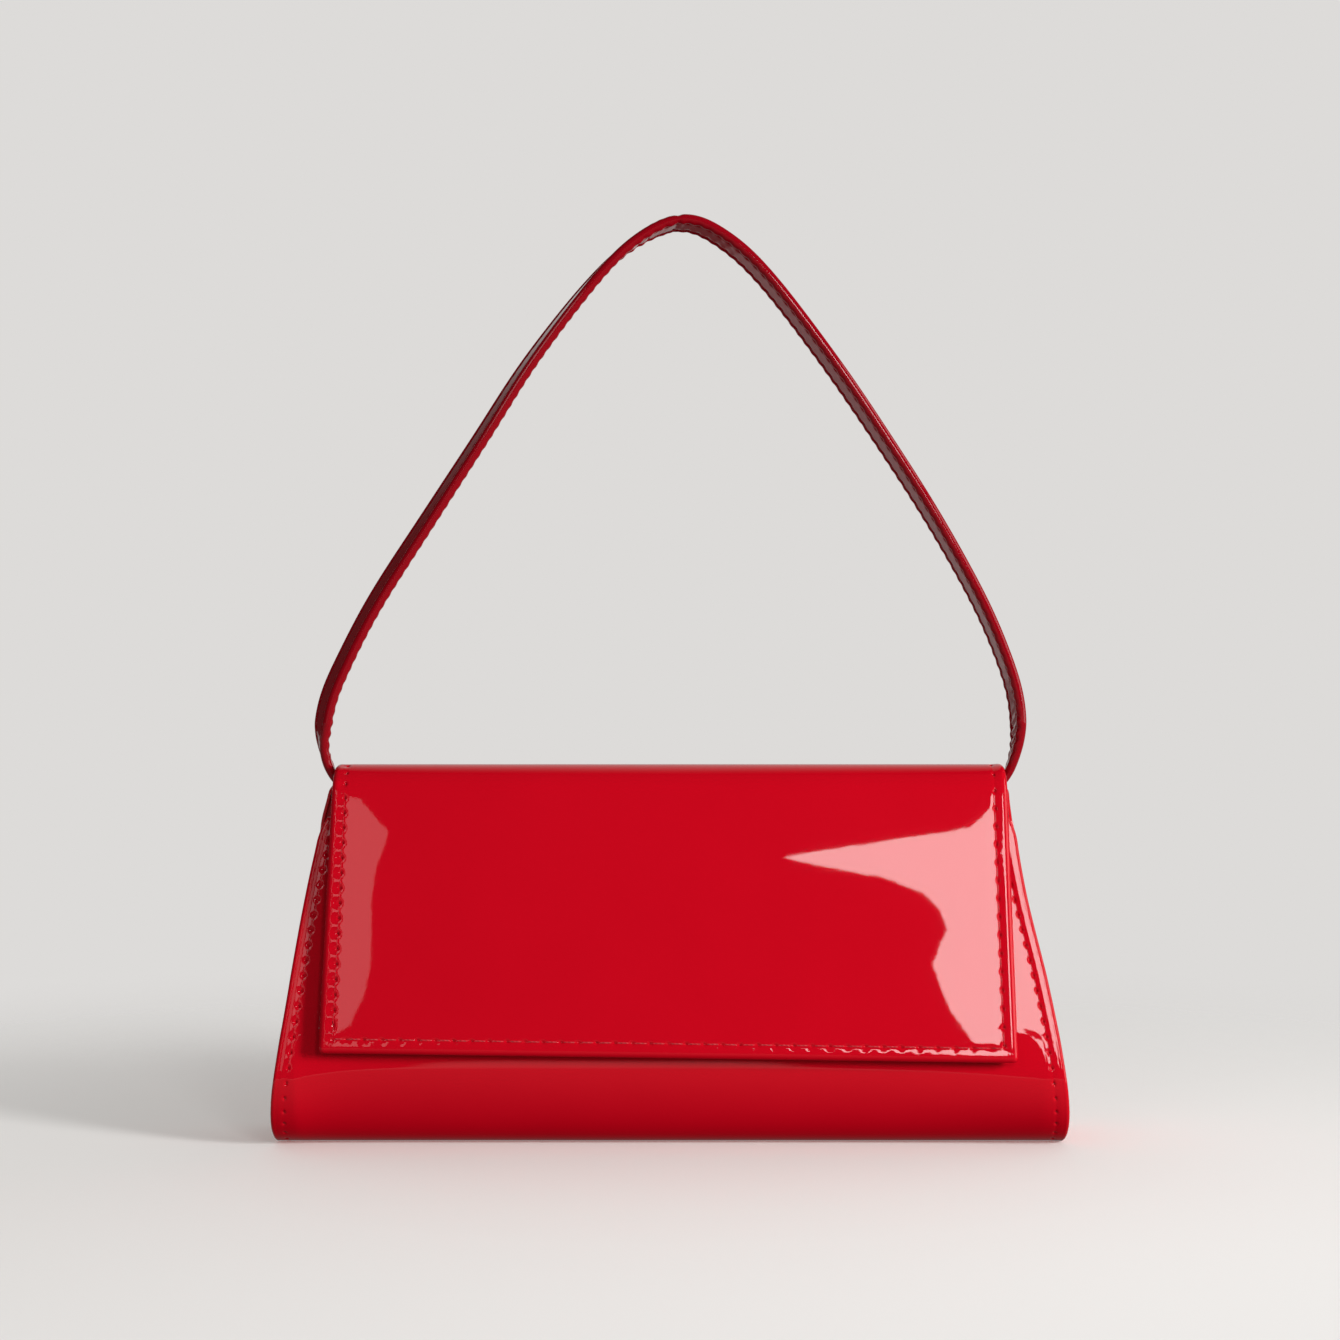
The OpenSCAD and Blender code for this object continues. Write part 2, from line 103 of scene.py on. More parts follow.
# How deep the inner face of a turned edge lies, by the distance from that edge.
CASE_SIDE_TURN = [(0.3, 1.75), (1.0, 2.1), (1.2, 2.0), (1.45, SKIN_T)]
CASE_TOP_TURN = [(0.35, 2.15), (1.0, 2.5), (1.2, 2.4), (1.5, SKIN_T)]
FLAP_TURN = [(0.35, 2.85), (1.0, 3.25), (1.15, 3.1), (1.35, SKIN_T)]

# The flap.
FLAP_TOP_HALF, FLAP_END_HALF, FLAP_Z = 112.1, 113.3, 31.0
FLAP_GAP, FLAP_BOARD_T = 2.4, 1.2
FLAP_LINING_IN = SKIN_T + GAP + FLAP_BOARD_T + GAP
FLAP_T = FLAP_LINING_IN + SKIN_T
FLAP_OFF = FLAP_GAP + FLAP_T
ROLL_R = (FOLD_D / 2 * COS + FLAP_OFF / 2) / COS ** 2
ROLL_Y = -FLAP_OFF / (2 * COS)
ROLL_Z = FOLD_Z - ROLL_R * SIN
FLAP_ROOT = 8.0          # the stretch past the fold line where the flap leaves the back's form
FLAP_TILT, TILT_RUN = 0.8, 26.0              # degrees that its front hangs down to the right
FRONT_ASIDE, ROOT_ASIDE = 0.6, 0.44          # how far its front and its root lie to -X
FLAP_CORNER_R, FLAP_EDGE_R = 1.8, 1.9
FLAP_BACK_IN, FLAP_BOARD_INSET = 1.15, 1.6   # how far its inner layers stay inside its edge

# The strap.
STRAP_W, STRAP_T, FOOT_X, FOOT_Z = 12.0, 3.0, 114.0, 121.5
STRAP_RISE, STRAP_BEAD, STRAP_SCALLOP = 186.8, 0.2, 0.08
# How the loop twists: degrees at shares of its length, with the outer face forward where positive.
STRAP_TWISTS = [(0, 26), (0.07, 26), (0.10, 24.5), (0.165, 25), (0.235, 22.5), (0.31, 20.5), (0.405, 14),
                (0.45, 8), (0.48, 0), (0.50, -6), (0.52, -12), (0.55, -14), (0.60, -14), (0.69, -14),
                (0.77, -12), (0.835, -10), (0.90, -8.5), (1, -8)]
END_W, END_T, END_SEWN_H, END_INSET = 7.0, 1.8, 24.0, 12.0
PUCKER, PUCKER_UP = 0.22, 13.0               # how deep it puckers, and how far past its feet
CREASE, CREASE_X = 0.40, 1.9                 # how deep its crease is, and where
NECK_W, NECK_T = 4.4, 3.0
STRAP_SHARES = [
    (-1, 0), (-1.028, 0.059), (-1.014, 0.131), (-0.961, 0.209), (-0.868, 0.317),
    (-0.716, 0.462), (-0.562, 0.607), (-0.41, 0.751), (-0.224, 0.896), (-0.096, 0.968),
    (0.039, 1), (0.161, 0.968), (0.287, 0.896), (0.469, 0.751), (0.63, 0.607),
    (0.781, 0.462), (0.913, 0.317), (0.989, 0.209), (1.025, 0.131), (1.028, 0.059), (1, 0)]

# Stitches: how far in the other rows lie, the space from hole to hole, and the first hole.
SIDE_PITCH, SIDE_PHASE = 5.0, 3.0
FLAP_LEFT_PITCH, FLAP_RIGHT_PITCH, FLAP_END_PITCH = 5.0, 6.0, 5.8
LEFT_PHASE, RIGHT_PHASE = 2.0, 1.5
STRAP_ROW_IN, STRAP_PITCH, STRAP_PHASE = 2.6, 4.0, 2.0
FACING_ROW_IN, FACING_PITCH, FACING_PHASE = 2.0, 6.0, 3.0
POCKET_ROW_IN, POCKET_PITCH = 1.8, 2.8
THREAD_R = 0.15
# Where a thread isn't as elsewhere: its radius, how high it lies, and how deep it dives.
FLAP_END_THREAD, STRAP_THREAD = (0.2, 0.12), (0.12, -0.12, 0.5)
# A stitched margin: its groove, the dimple and the needle hole of each stitch, and its crest.
GROOVE_DEEP, GROOVE_W = 0.004, 0.45
DIMPLE_R, DIMPLE_OUT = 1.9, 0.95
PRICK_DEEP, PRICK_R = 0.75, 0.42
CREST, CREST_SWING = 1.7, 0.15
# How high each margin swells, and how deep its dimples are.
CASE_LEFT_SEAM, CASE_RIGHT_SEAM = (0.02, 0.03), (0.09, 0.01)
FLAP_LEFT_SEAM, FLAP_RIGHT_SEAM, FLAP_END_SEAM = (0.001, 0.28), (0.13, 0.02), (0.10, 0.05)
EDGE_GROOVE_IN, EDGE_GROOVE_W, EDGE_GROOVE_DEEP = 1.75, 0.3, 0.10
# Distances from an edge at which the sheet's mesh has a line, fine round the stitches.
MARGIN = [0, 0.1, 0.32, 0.65, 1.05, 1.5, 2.0, 2.5, 3.0, 3.4, 3.75, 4.05, 4.3, 4.5, 4.7, 4.95,
          5.25, 5.6, 6.1, 6.8, 7.8, 9.0, 10.5]

SNAP_Z = 58.0            # height of the snap's centre on the front panel

# Where the flap's sheets and the strap bend between two bodies: the first place is on the case.
FOLD_BEND_M = (0, 0.0095, 0.118), (0, -0.003, 0.118)
FOOT_BEND_M = (0, 0, 0.118), (0, 0, 0.126)


# ---------------------------------------------------------------- shapes

def bell(distance, spread):
    """1 in the middle, and less outwards over about the spread."""
    return np.exp(-(distance / spread) ** 2)


def share_of(value, whole):
    """The value as a share of the whole, kept from 0 to 1."""
    return np.clip(value / whole, 0, 1)


def eased_share(value, whole):
    """The same, with a soft start and end."""
    t = share_of(value, whole)
    return t * t * (3 - 2 * t)


def eased(places, knots, step, spread):
    """A line through knots of (place, value), with its corners eased over about that spread."""
    line = np.interp(places, *zip(*knots))
    reach = int(2.3 * spread / step)
    weights = bell(np.arange(-reach, reach + 1) * step, spread)
    return places, np.convolve(np.pad(line, reach, mode="edge"), weights / weights.sum(), mode="valid")


def distances(line):
    """How far along a line each of its points is."""
    return np.concatenate([[0], np.cumsum(np.linalg.norm(np.diff(line, axis=0), axis=1))])


HEIGHTS = np.arange(-40, 180, 0.5)
WIDTH_Z, WIDTH_X = eased(HEIGHTS, [(share * FOLD_Z, FOLD_W / 2 + (BASE_W - FOLD_W) / 2 * more)
                                   for share, more in SIDE_SHARES], 0.5, 3.5)
FLARE_Z, FLARE_X = eased(HEIGHTS, BACK_FLARES, 0.5, 4.0)


def half_w(z):
    return np.interp(z, WIDTH_Z, WIDTH_X)


class Path:
    """A side view made of straight lines and arcs, which gives places at any distance along it."""

    def __init__(self, start, stretches):
        """A stretch is (end, angle of the outward normal) or (centre, radius, first, last angle)."""
        self.stretches, self.length = [], 0.0
        here = start
        for data in stretches:
            if len(data) == 2:
                end, angle = data
                size = math.dist(here, end)
            else:
                centre, radius, a0, a1 = data
                size = radius * math.radians(a1 - a0)
                end = (centre[0] + radius * math.cos(math.radians(a1)),
                       centre[1] + radius * math.sin(math.radians(a1)))
            self.stretches.append((self.length, size, here, end, data))
            self.length += size
            here = end

    def at(self, s, out=0.0):
        s = np.asarray(s, float)
        y, z, a = (np.zeros(s.shape) for _ in range(3))
        last = len(self.stretches) - 1
        for k, (s0, size, begin, end, data) in enumerate(self.stretches):
            here = ((s >= s0) | (k == 0)) & ((s < s0 + size) | (k == last))
            t = (s[here] - s0) / size
            if len(data) == 2:
                y[here] = begin[0] + (end[0] - begin[0]) * t
                z[here] = begin[1] + (end[1] - begin[1]) * t
                a[here] = math.radians(data[1])
            else:
                centre, radius, a0, a1 = data
                a[here] = np.radians(a0 + (a1 - a0) * t)
                y[here] = centre[0] + radius * np.cos(a[here])
                z[here] = centre[1] + radius * np.sin(a[here])
        return y + out * np.cos(a), z + out * np.sin(a)


def case_path():
    """From the front panel's top edge down, round the base and up the back to the fold line."""
    top_y = -FOLD_D / 2 - (FOLD_Z - MOUTH_Z) * SIN / COS
    front = (-FOLD_Y - FOLD_R * COS, FOLD_R + FOLD_R * SIN)
    return Path((top_y, MOUTH_Z), [
        (front, 180 - LEAN),
        ((-FOLD_Y, FOLD_R), FOLD_R, 180 - LEAN, 270.0),
        ((FOLD_Y, 0.0), 270.0),
        ((FOLD_Y, FOLD_R), FOLD_R, 270.0, 360 + LEAN),
        ((FOLD_D / 2, FOLD_Z), 360 + LEAN)])


def flap_path():
    """From the fold line over the roll and down the front to the flap's free edge."""
    run = (FOLD_Z - FLAP_Z) / COS
    a = math.radians(180 - LEAN)
    foot = (ROLL_Y + ROLL_R * math.cos(a), ROLL_Z + ROLL_R * math.sin(a))
    return Path((FOLD_D / 2, FOLD_Z), [
        ((ROLL_Y, ROLL_Z), ROLL_R, LEAN, 180 - LEAN),
        ((foot[0] - run * SIN, foot[1] - run * COS), 180 - LEAN)])


CASE, FLAP = case_path(), flap_path()


class Build:
    """Collects points and faces, and hands them over as one closed mesh."""

    def __init__(self):
        self.points, self.faces, self.count = [], [], 0

    def add(self, points):
        points = np.asarray(points, float)
        flat = points.reshape(-1, 3)
        index = np.arange(self.count, self.count + len(flat)).reshape(points.shape[:-1])
        self.points.append(flat)
        self.count += len(flat)
        return index

    def quads(self, index, wrap=False):
        if wrap:
            index = np.concatenate([index, index[:, :1]], axis=1)
        a, b, c, d = index[:-1, :-1], index[1:, :-1], index[1:, 1:], index[:-1, 1:]
        self.faces += np.stack([a, b, c, d], axis=-1).reshape(-1, 4).tolist()

    def grid(self, points, wrap=False):
        index = self.add(points)
        self.quads(index, wrap)
        return index

    def zip(self, a, b):
        """Triangles between two lines of points that start and end side by side."""
        pts = np.concatenate(self.points)
        a, b = list(map(int, a)), list(map(int, b))

        def share(line):
            total = distances(pts[line])
            return total / max(total[-1], 1e-9)

        ta, tb = share(a), share(b)
        i = j = 0
        while i < len(a) - 1 or j < len(b) - 1:
            if j == len(b) - 1 or (i < len(a) - 1 and ta[i + 1] <= tb[j + 1]):
                self.faces.append([a[i], a[i + 1], b[j]])
                i += 1
            else:
                self.faces.append([a[i], b[j + 1], b[j]])
                j += 1

    def close(self, outer, inner):
        """Joins the borders of two grids that lie face to face."""
        self.zip(outer[:, 0], inner[:, 0])
        self.zip(outer[:, -1], inner[:, -1])
        self.zip(outer[0, :], inner[0, :])
        self.zip(outer[-1, :], inner[-1, :])

    def cap(self, ring):
        self.faces.append([int(i) for i in ring])

    def object(self, name, sharp=50.0):
        mesh = bpy.data.meshes.new(name)
        mesh.from_pydata((np.concatenate(self.points) * MM).tolist(), [], self.faces)
        work = bmesh.new()
        work.from_mesh(mesh)
        bmesh.ops.recalc_face_normals(work, faces=work.faces)
        for face in work.faces:
            face.smooth = True
        work.to_mesh(mesh)
        work.free()
        mesh.set_sharp_from_angle(angle=math.radians(sharp))
        thing = bpy.data.objects.new(name, mesh)
        bpy.context.scene.collection.objects.link(thing)
        return thing


def finish_piece(thing, look, rides, *replaced):
    """Gives a piece its material, and lets it ride on a body, or bakes its place where it lies between two.
    """
    material, slot = look
    thing.data.materials.append(material)
    if isinstance(rides, str):
        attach(thing, rides)
    else:
        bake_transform(thing)
    if replaced:
        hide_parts(*replaced)
    return thing


def rounding(d, reach, drop):
    """How far a surface lies under its level at d inside a rounded edge."""
    t = np.clip(1 - np.asarray(d, float) / reach, 0, 1)
    return -drop * (1 - np.sqrt(np.maximum(1 - t * t, 0)))


def from_hole(along, pitch, phase):
    """How far along a row each place is from the nearest needle hole, and that hole's number."""
    place = (np.asarray(along) - phase) / pitch
    number = np.round(place)
    return (place - number) * pitch, number


def seam_relief(inside, along, pitch, phase, bead=0.06, dent=0.03, margin=ROW_IN):
    """Height of a stitched sheet: inside is the distance past the row, towards the middle.

    bead is how far the margin rises between the row and the edge, and dent is the dimple that
    every stitch pulls into the margin.
    """
    hole, number = from_hole(along, pitch, phase)
    uneven = 1 + 0.25 * np.sin(number * 2.4)
    valley = -(GROOVE_DEEP + 0.5 * bead) * bell(inside, GROOVE_W)
    dimple = -dent * uneven * np.clip(1 - np.hypot(inside + DIMPLE_OUT, hole) / DIMPLE_R, 0, 1)
    prick = -PRICK_DEEP * bell(np.hypot(inside, hole), PRICK_R)
    crest = CREST + CREST_SWING * np.cos(2 * math.pi * hole / pitch)
    past = margin + inside
    rise = np.sin(math.pi / 2 * share_of(-inside, margin - crest))
    fall = np.cos(math.pi / 2 * share_of(crest - past, crest + 0.6))
    return valley + dimple + prick + bead * np.where(past > crest, rise, fall) ** 2


def turned(inside, turn):
    """How deep a sheet's inner face lies: deeper along an edge, where the sheet is turned over."""
    return np.interp(inside, *zip(*turn))


def waves(a, b, seed, size, count=5, shortest=35.0, longest=110.0):
    """A smooth, slight unevenness over two lengths in millimetres."""
    rng = np.random.default_rng(seed)
    total = 0.0
    for _ in range(count):
        length, way, start = rng.uniform(shortest, longest), rng.uniform(0, math.pi), rng.uniform(0, 6.3)
        total = total + np.sin((a * math.cos(way) + b * math.sin(way)) * 2 * math.pi / length + start)
    return size * total / count


def sheet_rows(s_rows, half_of, edges, step):
    """A grid of (x, s) places: the edges' fine lines, and even ones as close as the step between."""
    widest = max(float(half_of(s)) for s in s_rows)
    count = max(3, int(2 * (widest - edges[-1]) / step))
    edge = np.array(edges)
    rows = []
    for s in s_rows:
        half = float(half_of(s))
        middle = np.linspace(edges[-1] - half, half - edges[-1], count)[1:-1]
        rows.append(np.concatenate([edge - half, middle, (half - edge)[::-1]]))
    x = np.array(rows)
    return x, np.repeat(np.array(s_rows, float)[:, None], x.shape[1], axis=1)


# ---------------------------------------------------------------- the case's sheet

def case_half(s):
    """Half the sheet's width; the back flares below the fold line, and the front's corners are round."""
    s = np.asarray(s)
    z = CASE.at(s)[1]
    back = np.interp(z, FLARE_Z, FLARE_X)
    corner = -CORNER_IN * np.clip(1 - s / CORNER_H, 0, 1) ** 2
    return half_w(z) + np.where(s > CASE.length / 2, back, corner)


def case_point(x, s, out):
    """A place on the case, which leans a millimetre to one side below the mouth."""
    y, z = CASE.at(s, out + slack(x, s))
    (lean, lean_z, lean_h), (more, more_z, more_h) = CASE_ASIDE, BACK_ASIDE
    aside = lean * bell(z - lean_z, lean_h) + more * bell(z - more_z, more_h) * (s > CASE.length / 2)
    return np.stack([x - aside, y, z], axis=-1)


def slack(x, s):
    """The folds along the base are rounder in the middle than at the seams."""
    full = 1 - share_of(np.abs(x), SLACK_HALF) ** np.where(x < 0, 10.0, 3.5)
    front = (CASE.stretches[1][0] - SLACK_ABOVE, CASE.stretches[2][0])
    back = (CASE.stretches[3][0], CASE.stretches[4][0] + SLACK_ABOVE)
    sunk = sum(np.sin(math.pi * share_of(s - begin, end - begin)) ** 2 for begin, end in (front, back))
    return -SLACK * sunk * full


def case_relief(x, s):
    inside = case_half(s) - np.abs(x)
    bead, dent = (np.where(x < 0, a, b) for a, b in zip(CASE_LEFT_SEAM, CASE_RIGHT_SEAM))
    h = seam_relief(inside - ROW_IN, s, SIDE_PITCH, SIDE_PHASE, bead, dent)
    h = h - EDGE_GROOVE_DEEP * bell(inside - EDGE_GROOVE_IN, EDGE_GROOVE_W)
    calm = share_of(inside, 20) * share_of(s, 20) * share_of(CASE.length - s, 20)
    h = h + waves(x, s, 4, 0.03) * calm
    return h + np.minimum(rounding(inside, 1.15, 1.05), rounding(s, 1.35, 1.25))


def case_skin():
    build = Build()
    fine = [0, 0.12, 0.35, 0.7, 1.1, 1.5]
    s_rows = np.concatenate([fine, np.arange(2.0, CASE.length, 0.5), [CASE.length]])
    x, s = sheet_rows(s_rows, case_half, MARGIN, 5.0)
    outer = build.grid(case_point(x, s, case_relief(x, s)))
    s_in = np.concatenate([[d for d, _ in CASE_TOP_TURN], np.linspace(6, CASE.length, 110)])
    x, s = sheet_rows(s_in, case_half, [d for d, _ in CASE_SIDE_TURN] + [12.0], 12.0)
    deep = np.maximum(turned(case_half(s) - np.abs(x), CASE_SIDE_TURN), turned(s, CASE_TOP_TURN))
    inner = build.grid(case_point(x, s, -deep))
    build.close(outer, inner)
    return build.object("case_sheet")


# ---------------------------------------------------------------- the flap

def flap_half(s):
    start = FLAP.length - (FOLD_Z - FLAP_Z) / COS
    wide = FLAP_TOP_HALF + (FLAP_END_HALF - FLAP_TOP_HALF) * share_of(s - start, FLAP.length - start)
    root = FOLD_W / 2 + BACK_FLARE
    return root + (wide - root) * eased_share(s, FLAP_ROOT)


def flap_point(x, s, out):
    """A place on the flap, which hangs a little lower on its right."""
    turn = eased_share(s - FLAP_ROOT, TILT_RUN) * math.radians(FLAP_TILT)
    aside = FRONT_ASIDE * share_of(s - 20, 100) + ROOT_ASIDE * bell(s, FLAP_ROOT)
    y, z = FLAP.at(s + x * turn, out)
    return np.stack([x - aside, y, z], axis=-1)


def round_corner(x, s, radius, half, end):
    """Moves places near the two free corners so that the plan's corners are rounded."""
    dx, ds = half - np.abs(x), end - s
    near = (dx < radius) & (ds < radius)
    q = np.maximum(radius - dx, 1e-6), np.maximum(radius - ds, 1e-6)
    scale = np.where(near, np.maximum(*q) / np.hypot(*q), 1.0)
    x2 = np.where(near, np.sign(x) * (half - radius + q[0] * scale), x)
    s2 = np.where(near, end - radius + q[1] * scale, s)
    return x2, s2


def flap_relief(x, s):
    inside, end = flap_half(s) - np.abs(x), FLAP.length - s
    left = seam_relief(inside - ROW_IN, s, FLAP_LEFT_PITCH, LEFT_PHASE, *FLAP_LEFT_SEAM)
    right = seam_relief(inside - ROW_IN, s, FLAP_RIGHT_PITCH, RIGHT_PHASE, *FLAP_RIGHT_SEAM)
    foot = seam_relief(end - ROW_IN, x, FLAP_END_PITCH, 0.0, *FLAP_END_SEAM)
    # Past the corner where two rows meet, each of them fades within a millimetre.
    h = np.where(x < 0, left, right) * share_of(end - ROW_IN + 1, 1) + foot * share_of(inside - ROW_IN + 1, 1)
    calm = share_of(inside, 25) * share_of(s, 20) * share_of(end, 25)
    return h + waves(x, s, 11, 0.012) * calm + rounding(np.minimum(inside, end), FLAP_EDGE_R, FLAP_T / 2)


def flap_skin():
    build = Build()
    end = FLAP.length
    x, s = sheet_rows(np.arange(0, end - MARGIN[-1] - 0.4, 0.5), flap_half, MARGIN, 5.0)
    top = build.grid(flap_point(x, s, flap_relief(x, s)))
    x, s = sheet_rows([end - d for d in MARGIN[::-1]], flap_half, MARGIN, 0.6)
    x2, s2 = round_corner(x, s, FLAP_CORNER_R, flap_half(s), end)
    foot = build.grid(flap_point(x2, s2, flap_relief(x, s)))
    build.zip(top[-1], foot[0])
    lips = [d for d, _ in FLAP_TURN]
    s_in = np.concatenate([np.linspace(0, end - 12, 70), [end - lip for lip in lips[::-1]]])
    x, s = sheet_rows(s_in, flap_half, lips + [12.0], 12.0)
    deep = np.maximum(turned(flap_half(s) - np.abs(x), FLAP_TURN), turned(end - s, FLAP_TURN))
    inner = build.grid(flap_point(x, s, -deep))
    for side in (0, -1):
        build.zip(np.concatenate([top[:, side], foot[:, side]]), inner[:, side])
    build.zip(top[0], inner[0])
    build.zip(foot[-1], inner[-1])
    return build.object("flap_sheet")


def flap_back():
    """The flap's inner sheet, sewn inside the turned edge."""
    build = Build()
    first, end = 0.6, FLAP.length - FLAP_BACK_IN

    def half(s):
        return flap_half(s) - FLAP_BACK_IN

    edges = [0, 0.1, 0.3, 0.6, 1.2, 2.0, 2.6, 3.0, 3.35, 3.7, 4.1, 4.8, 6.0, 8.0]
    s_rows = np.concatenate([first + np.array([0, 0.15, 0.4, 0.8]), np.arange(2, end - 8, 0.6),
                             [end - e for e in edges[::-1]]])
    x, s = sheet_rows(s_rows, half, edges, 2.4)
    inside, rest = half(s) - np.abs(x), end - s
    row = ROW_IN - FLAP_BACK_IN
    sides = np.where(x < 0, seam_relief(inside - row, s, FLAP_LEFT_PITCH, LEFT_PHASE, margin=row),
                     seam_relief(inside - row, s, FLAP_RIGHT_PITCH, RIGHT_PHASE, margin=row))
    relief = np.minimum(sides, seam_relief(rest - row, x, FLAP_END_PITCH, 0.0, margin=row))
    edge = np.minimum(np.minimum(inside, rest), s - first)
    under = build.grid(flap_point(x, s, -(FLAP_T + 0.9 * relief + rounding(edge, 0.6, 0.5))))
    s_in = np.concatenate([[first + 0.3], np.linspace(4, end - 4, 60), [end - 0.3]])
    x, s = sheet_rows(s_in, half, [0.3, 12.0], 12.0)
    build.close(under, build.grid(flap_point(x, s, -FLAP_LINING_IN)))
    return build.object("flap_inner_sheet")


def flap_stiffener():
    """The fibre board between the flap's two sheets, below the roll."""
    build = Build()
    first, end = FLAP.stretches[1][0] + 1, FLAP.length - FLAP_BOARD_INSET

    def half(s):
        return flap_half(s) - FLAP_BOARD_INSET

    s_rows = np.concatenate([[first, first + 0.3], np.linspace(first + 4, end - 4, 24), [end - 0.3, end]])
    x, s = sheet_rows(s_rows, half, [0, 0.3, 6.0], 12.0)
    edge = np.minimum(np.minimum(half(s) - np.abs(x), s - first), end - s)
    depth = FLAP_BOARD_T / 2 + rounding(edge, 0.3, 0.25)
    middle = SKIN_T + GAP + FLAP_BOARD_T / 2
    build.close(*(build.grid(flap_point(x, s, side * depth - middle)) for side in (1, -1)))
    return build.object("flap_stiffener")


# ---------------------------------------------------------------- threads

def thread_run(build, places, normals, radius=THREAD_R, level=0.02, deep=0.62):
    """Short stitches from hole to hole, each a thin tube that dives into both holes."""
    share = np.array([0.02, 0.12, 0.26, 0.5, 0.74, 0.88, 0.98])
    height = np.array([-deep, -0.3, level, level + 0.04, level, -0.3, -deep]) - 0.12
    sides = 6
    for a, b, na, nb in zip(places[:-1], places[1:], normals[:-1], normals[1:]):
        n = (na + nb) / np.linalg.norm(na + nb)
        way = (b - a) / np.linalg.norm(b - a)
        across = np.cross(way, n)
        centre = a + share[:, None] * (b - a) + height[:, None] * n
        turn = np.arange(sides) * 2 * math.pi / sides
        ring = np.cos(turn)[:, None] * across + np.sin(turn)[:, None] * n
        tube = build.grid(centre[:, None, :] + radius * ring[None, :, :], wrap=True)
        build.cap(tube[0][::-1])
        build.cap(tube[-1])


def stitched(name, point, runs):
    """Stitches along (x, s) places on a surface function: on its face, or from under it at a depth."""
    build = Build()
    for x, s, depth, *more in runs:
        here = point(x, s, -depth)
        normals = point(x, s, 1 - depth) - here
        normals = normals / np.linalg.norm(normals, axis=1)[:, None]
        thread_run(build, here, -normals if depth else normals, *more)
    return build.object(name)


def holes(first, last, pitch, phase):
    n0, n1 = math.ceil((first - phase) / pitch), math.floor((last - phase) / pitch)
    return phase + pitch * np.arange(n0, n1 + 1)


def case_threads():
    s = holes(SIDE_PHASE, CASE.length, SIDE_PITCH, SIDE_PHASE)
    x = case_half(s) - ROW_IN
    return stitched("case_side_stitches", case_point, [(-x, s, 0), (x, s, 0)])


def flap_threads():
    end, runs = FLAP.length - ROW_IN, []
    for side, pitch, phase in ((-1, FLAP_LEFT_PITCH, LEFT_PHASE), (1, FLAP_RIGHT_PITCH, RIGHT_PHASE)):
        s = np.append(holes(0.5, end - 2.0, pitch, phase), end)
        x = side * (flap_half(s) - ROW_IN)
        runs += [(x, s, 0), (x, s, FLAP_T)]
    reach = float(flap_half(end)) - ROW_IN
    x = np.concatenate([[-reach], holes(-reach + 2, reach - 2, FLAP_END_PITCH, 0.0), [reach]])
    s = 0 * x + end
    return stitched("flap_stitches", flap_point, runs + [(x, s, 0, *FLAP_END_THREAD), (x, s, FLAP_T)])


# ---------------------------------------------------------------- the strap

def curve_through(points, per):
    """A smooth curve through points, with so many places for each stretch between two of them."""
    pts = np.array(points, float)
    pad = np.concatenate([2 * pts[:1] - pts[1:2], pts, 2 * pts[-1:] - pts[-2:-1]])
    u = (np.arange(per) / per)[:, None]
    out = []
    for a, b, c, d in zip(pad, pad[1:], pad[2:], pad[3:]):
        out.append((2 * b + (c - a) * u + (2 * a - 5 * b + 4 * c - d) * u * u
                    + (3 * b - a - 3 * c + d) * u ** 3) / 2)
    return np.concatenate(out + [pts[-1:]])


def strap_line():
    """The strap's centre line in the front view, from one sewn end over the loop to the other."""
    z = np.linspace(MOUTH_Z - END_SEWN_H, MOUTH_Z, 5)
    sewn = np.stack([half_w(z) - END_INSET, z], axis=1)
    # From the mouth each end curls out to its foot.
    p0, p3 = sewn[-1], np.array([FOOT_X, FOOT_Z - 0.5])
    p1, p2 = p0 + [0.3, 4.0], p3 - [3.5, 3.0]
    t = np.linspace(0, 1, 8)[1:, None]
    out = (1 - t) ** 3 * p0 + 3 * (1 - t) ** 2 * t * p1 + 3 * (1 - t) * t * t * p2 + t ** 3 * p3
    right = np.concatenate([sewn, out[:-1]])
    loop = [(a * FOOT_X, FOOT_Z + b * STRAP_RISE) for a, b in STRAP_SHARES]
    line = curve_through(np.concatenate([right * [-1, 1], loop, right[::-1]]), 24)
    # Even steps, and then every small kink eased.
    even, reach = distances(line), 150
    steps = np.linspace(0, even[-1], int(even[-1] / 0.05))
    line = np.stack([np.interp(steps, even, line[:, k]) for k in (0, 1)], axis=1)
    weights = bell(np.arange(-reach, reach + 1), 60.0)
    for _ in range(2):
        line = np.stack([np.convolve(np.pad(line[:, k], reach, mode="reflect", reflect_type="odd"),
                                     weights / weights.sum(), mode="valid") for k in (0, 1)], axis=1)
    return distances(line), line


TURN_SHARES, TURNS = eased(np.linspace(0, 1, 401), STRAP_TWISTS, 0.0025, 0.012)
STRAP_S, STRAP_XZ = strap_line()
STRAP_LEN = STRAP_S[-1]
FOOT_S = float(STRAP_S[np.argmin(np.abs(STRAP_XZ[:len(STRAP_S) // 2, 1] - FOOT_Z))])


def strap_frame(s):
    """Centre, outward and sideways directions of the strap at s."""
    s = np.asarray(s, float)
    (x0, z0), (x, z), (x1, z1) = ([np.interp(s + more, STRAP_S, STRAP_XZ[:, k]) for k in (0, 1)]
                                  for more in (-1.5, 0.0, 1.5))
    size = np.hypot(x1 - x0, z1 - z0)
    tx, tz = (x1 - x0) / size, (z1 - z0) / size
    rise = eased_share(np.minimum(s, STRAP_LEN - s) - FOOT_S - 2, 16)
    share = share_of(s - FOOT_S, STRAP_LEN - 2 * FOOT_S)
    turn = np.radians(np.interp(share, TURN_SHARES, TURNS)) * rise
    centre = np.stack([x, 0 * x, z], axis=-1)
    out = np.stack([-tz * np.cos(turn), -np.sin(turn), tx * np.cos(turn)], axis=-1)
    side = np.stack([-tz * np.sin(turn), np.cos(turn), tx * np.sin(turn)], axis=-1)
    return centre, out, side


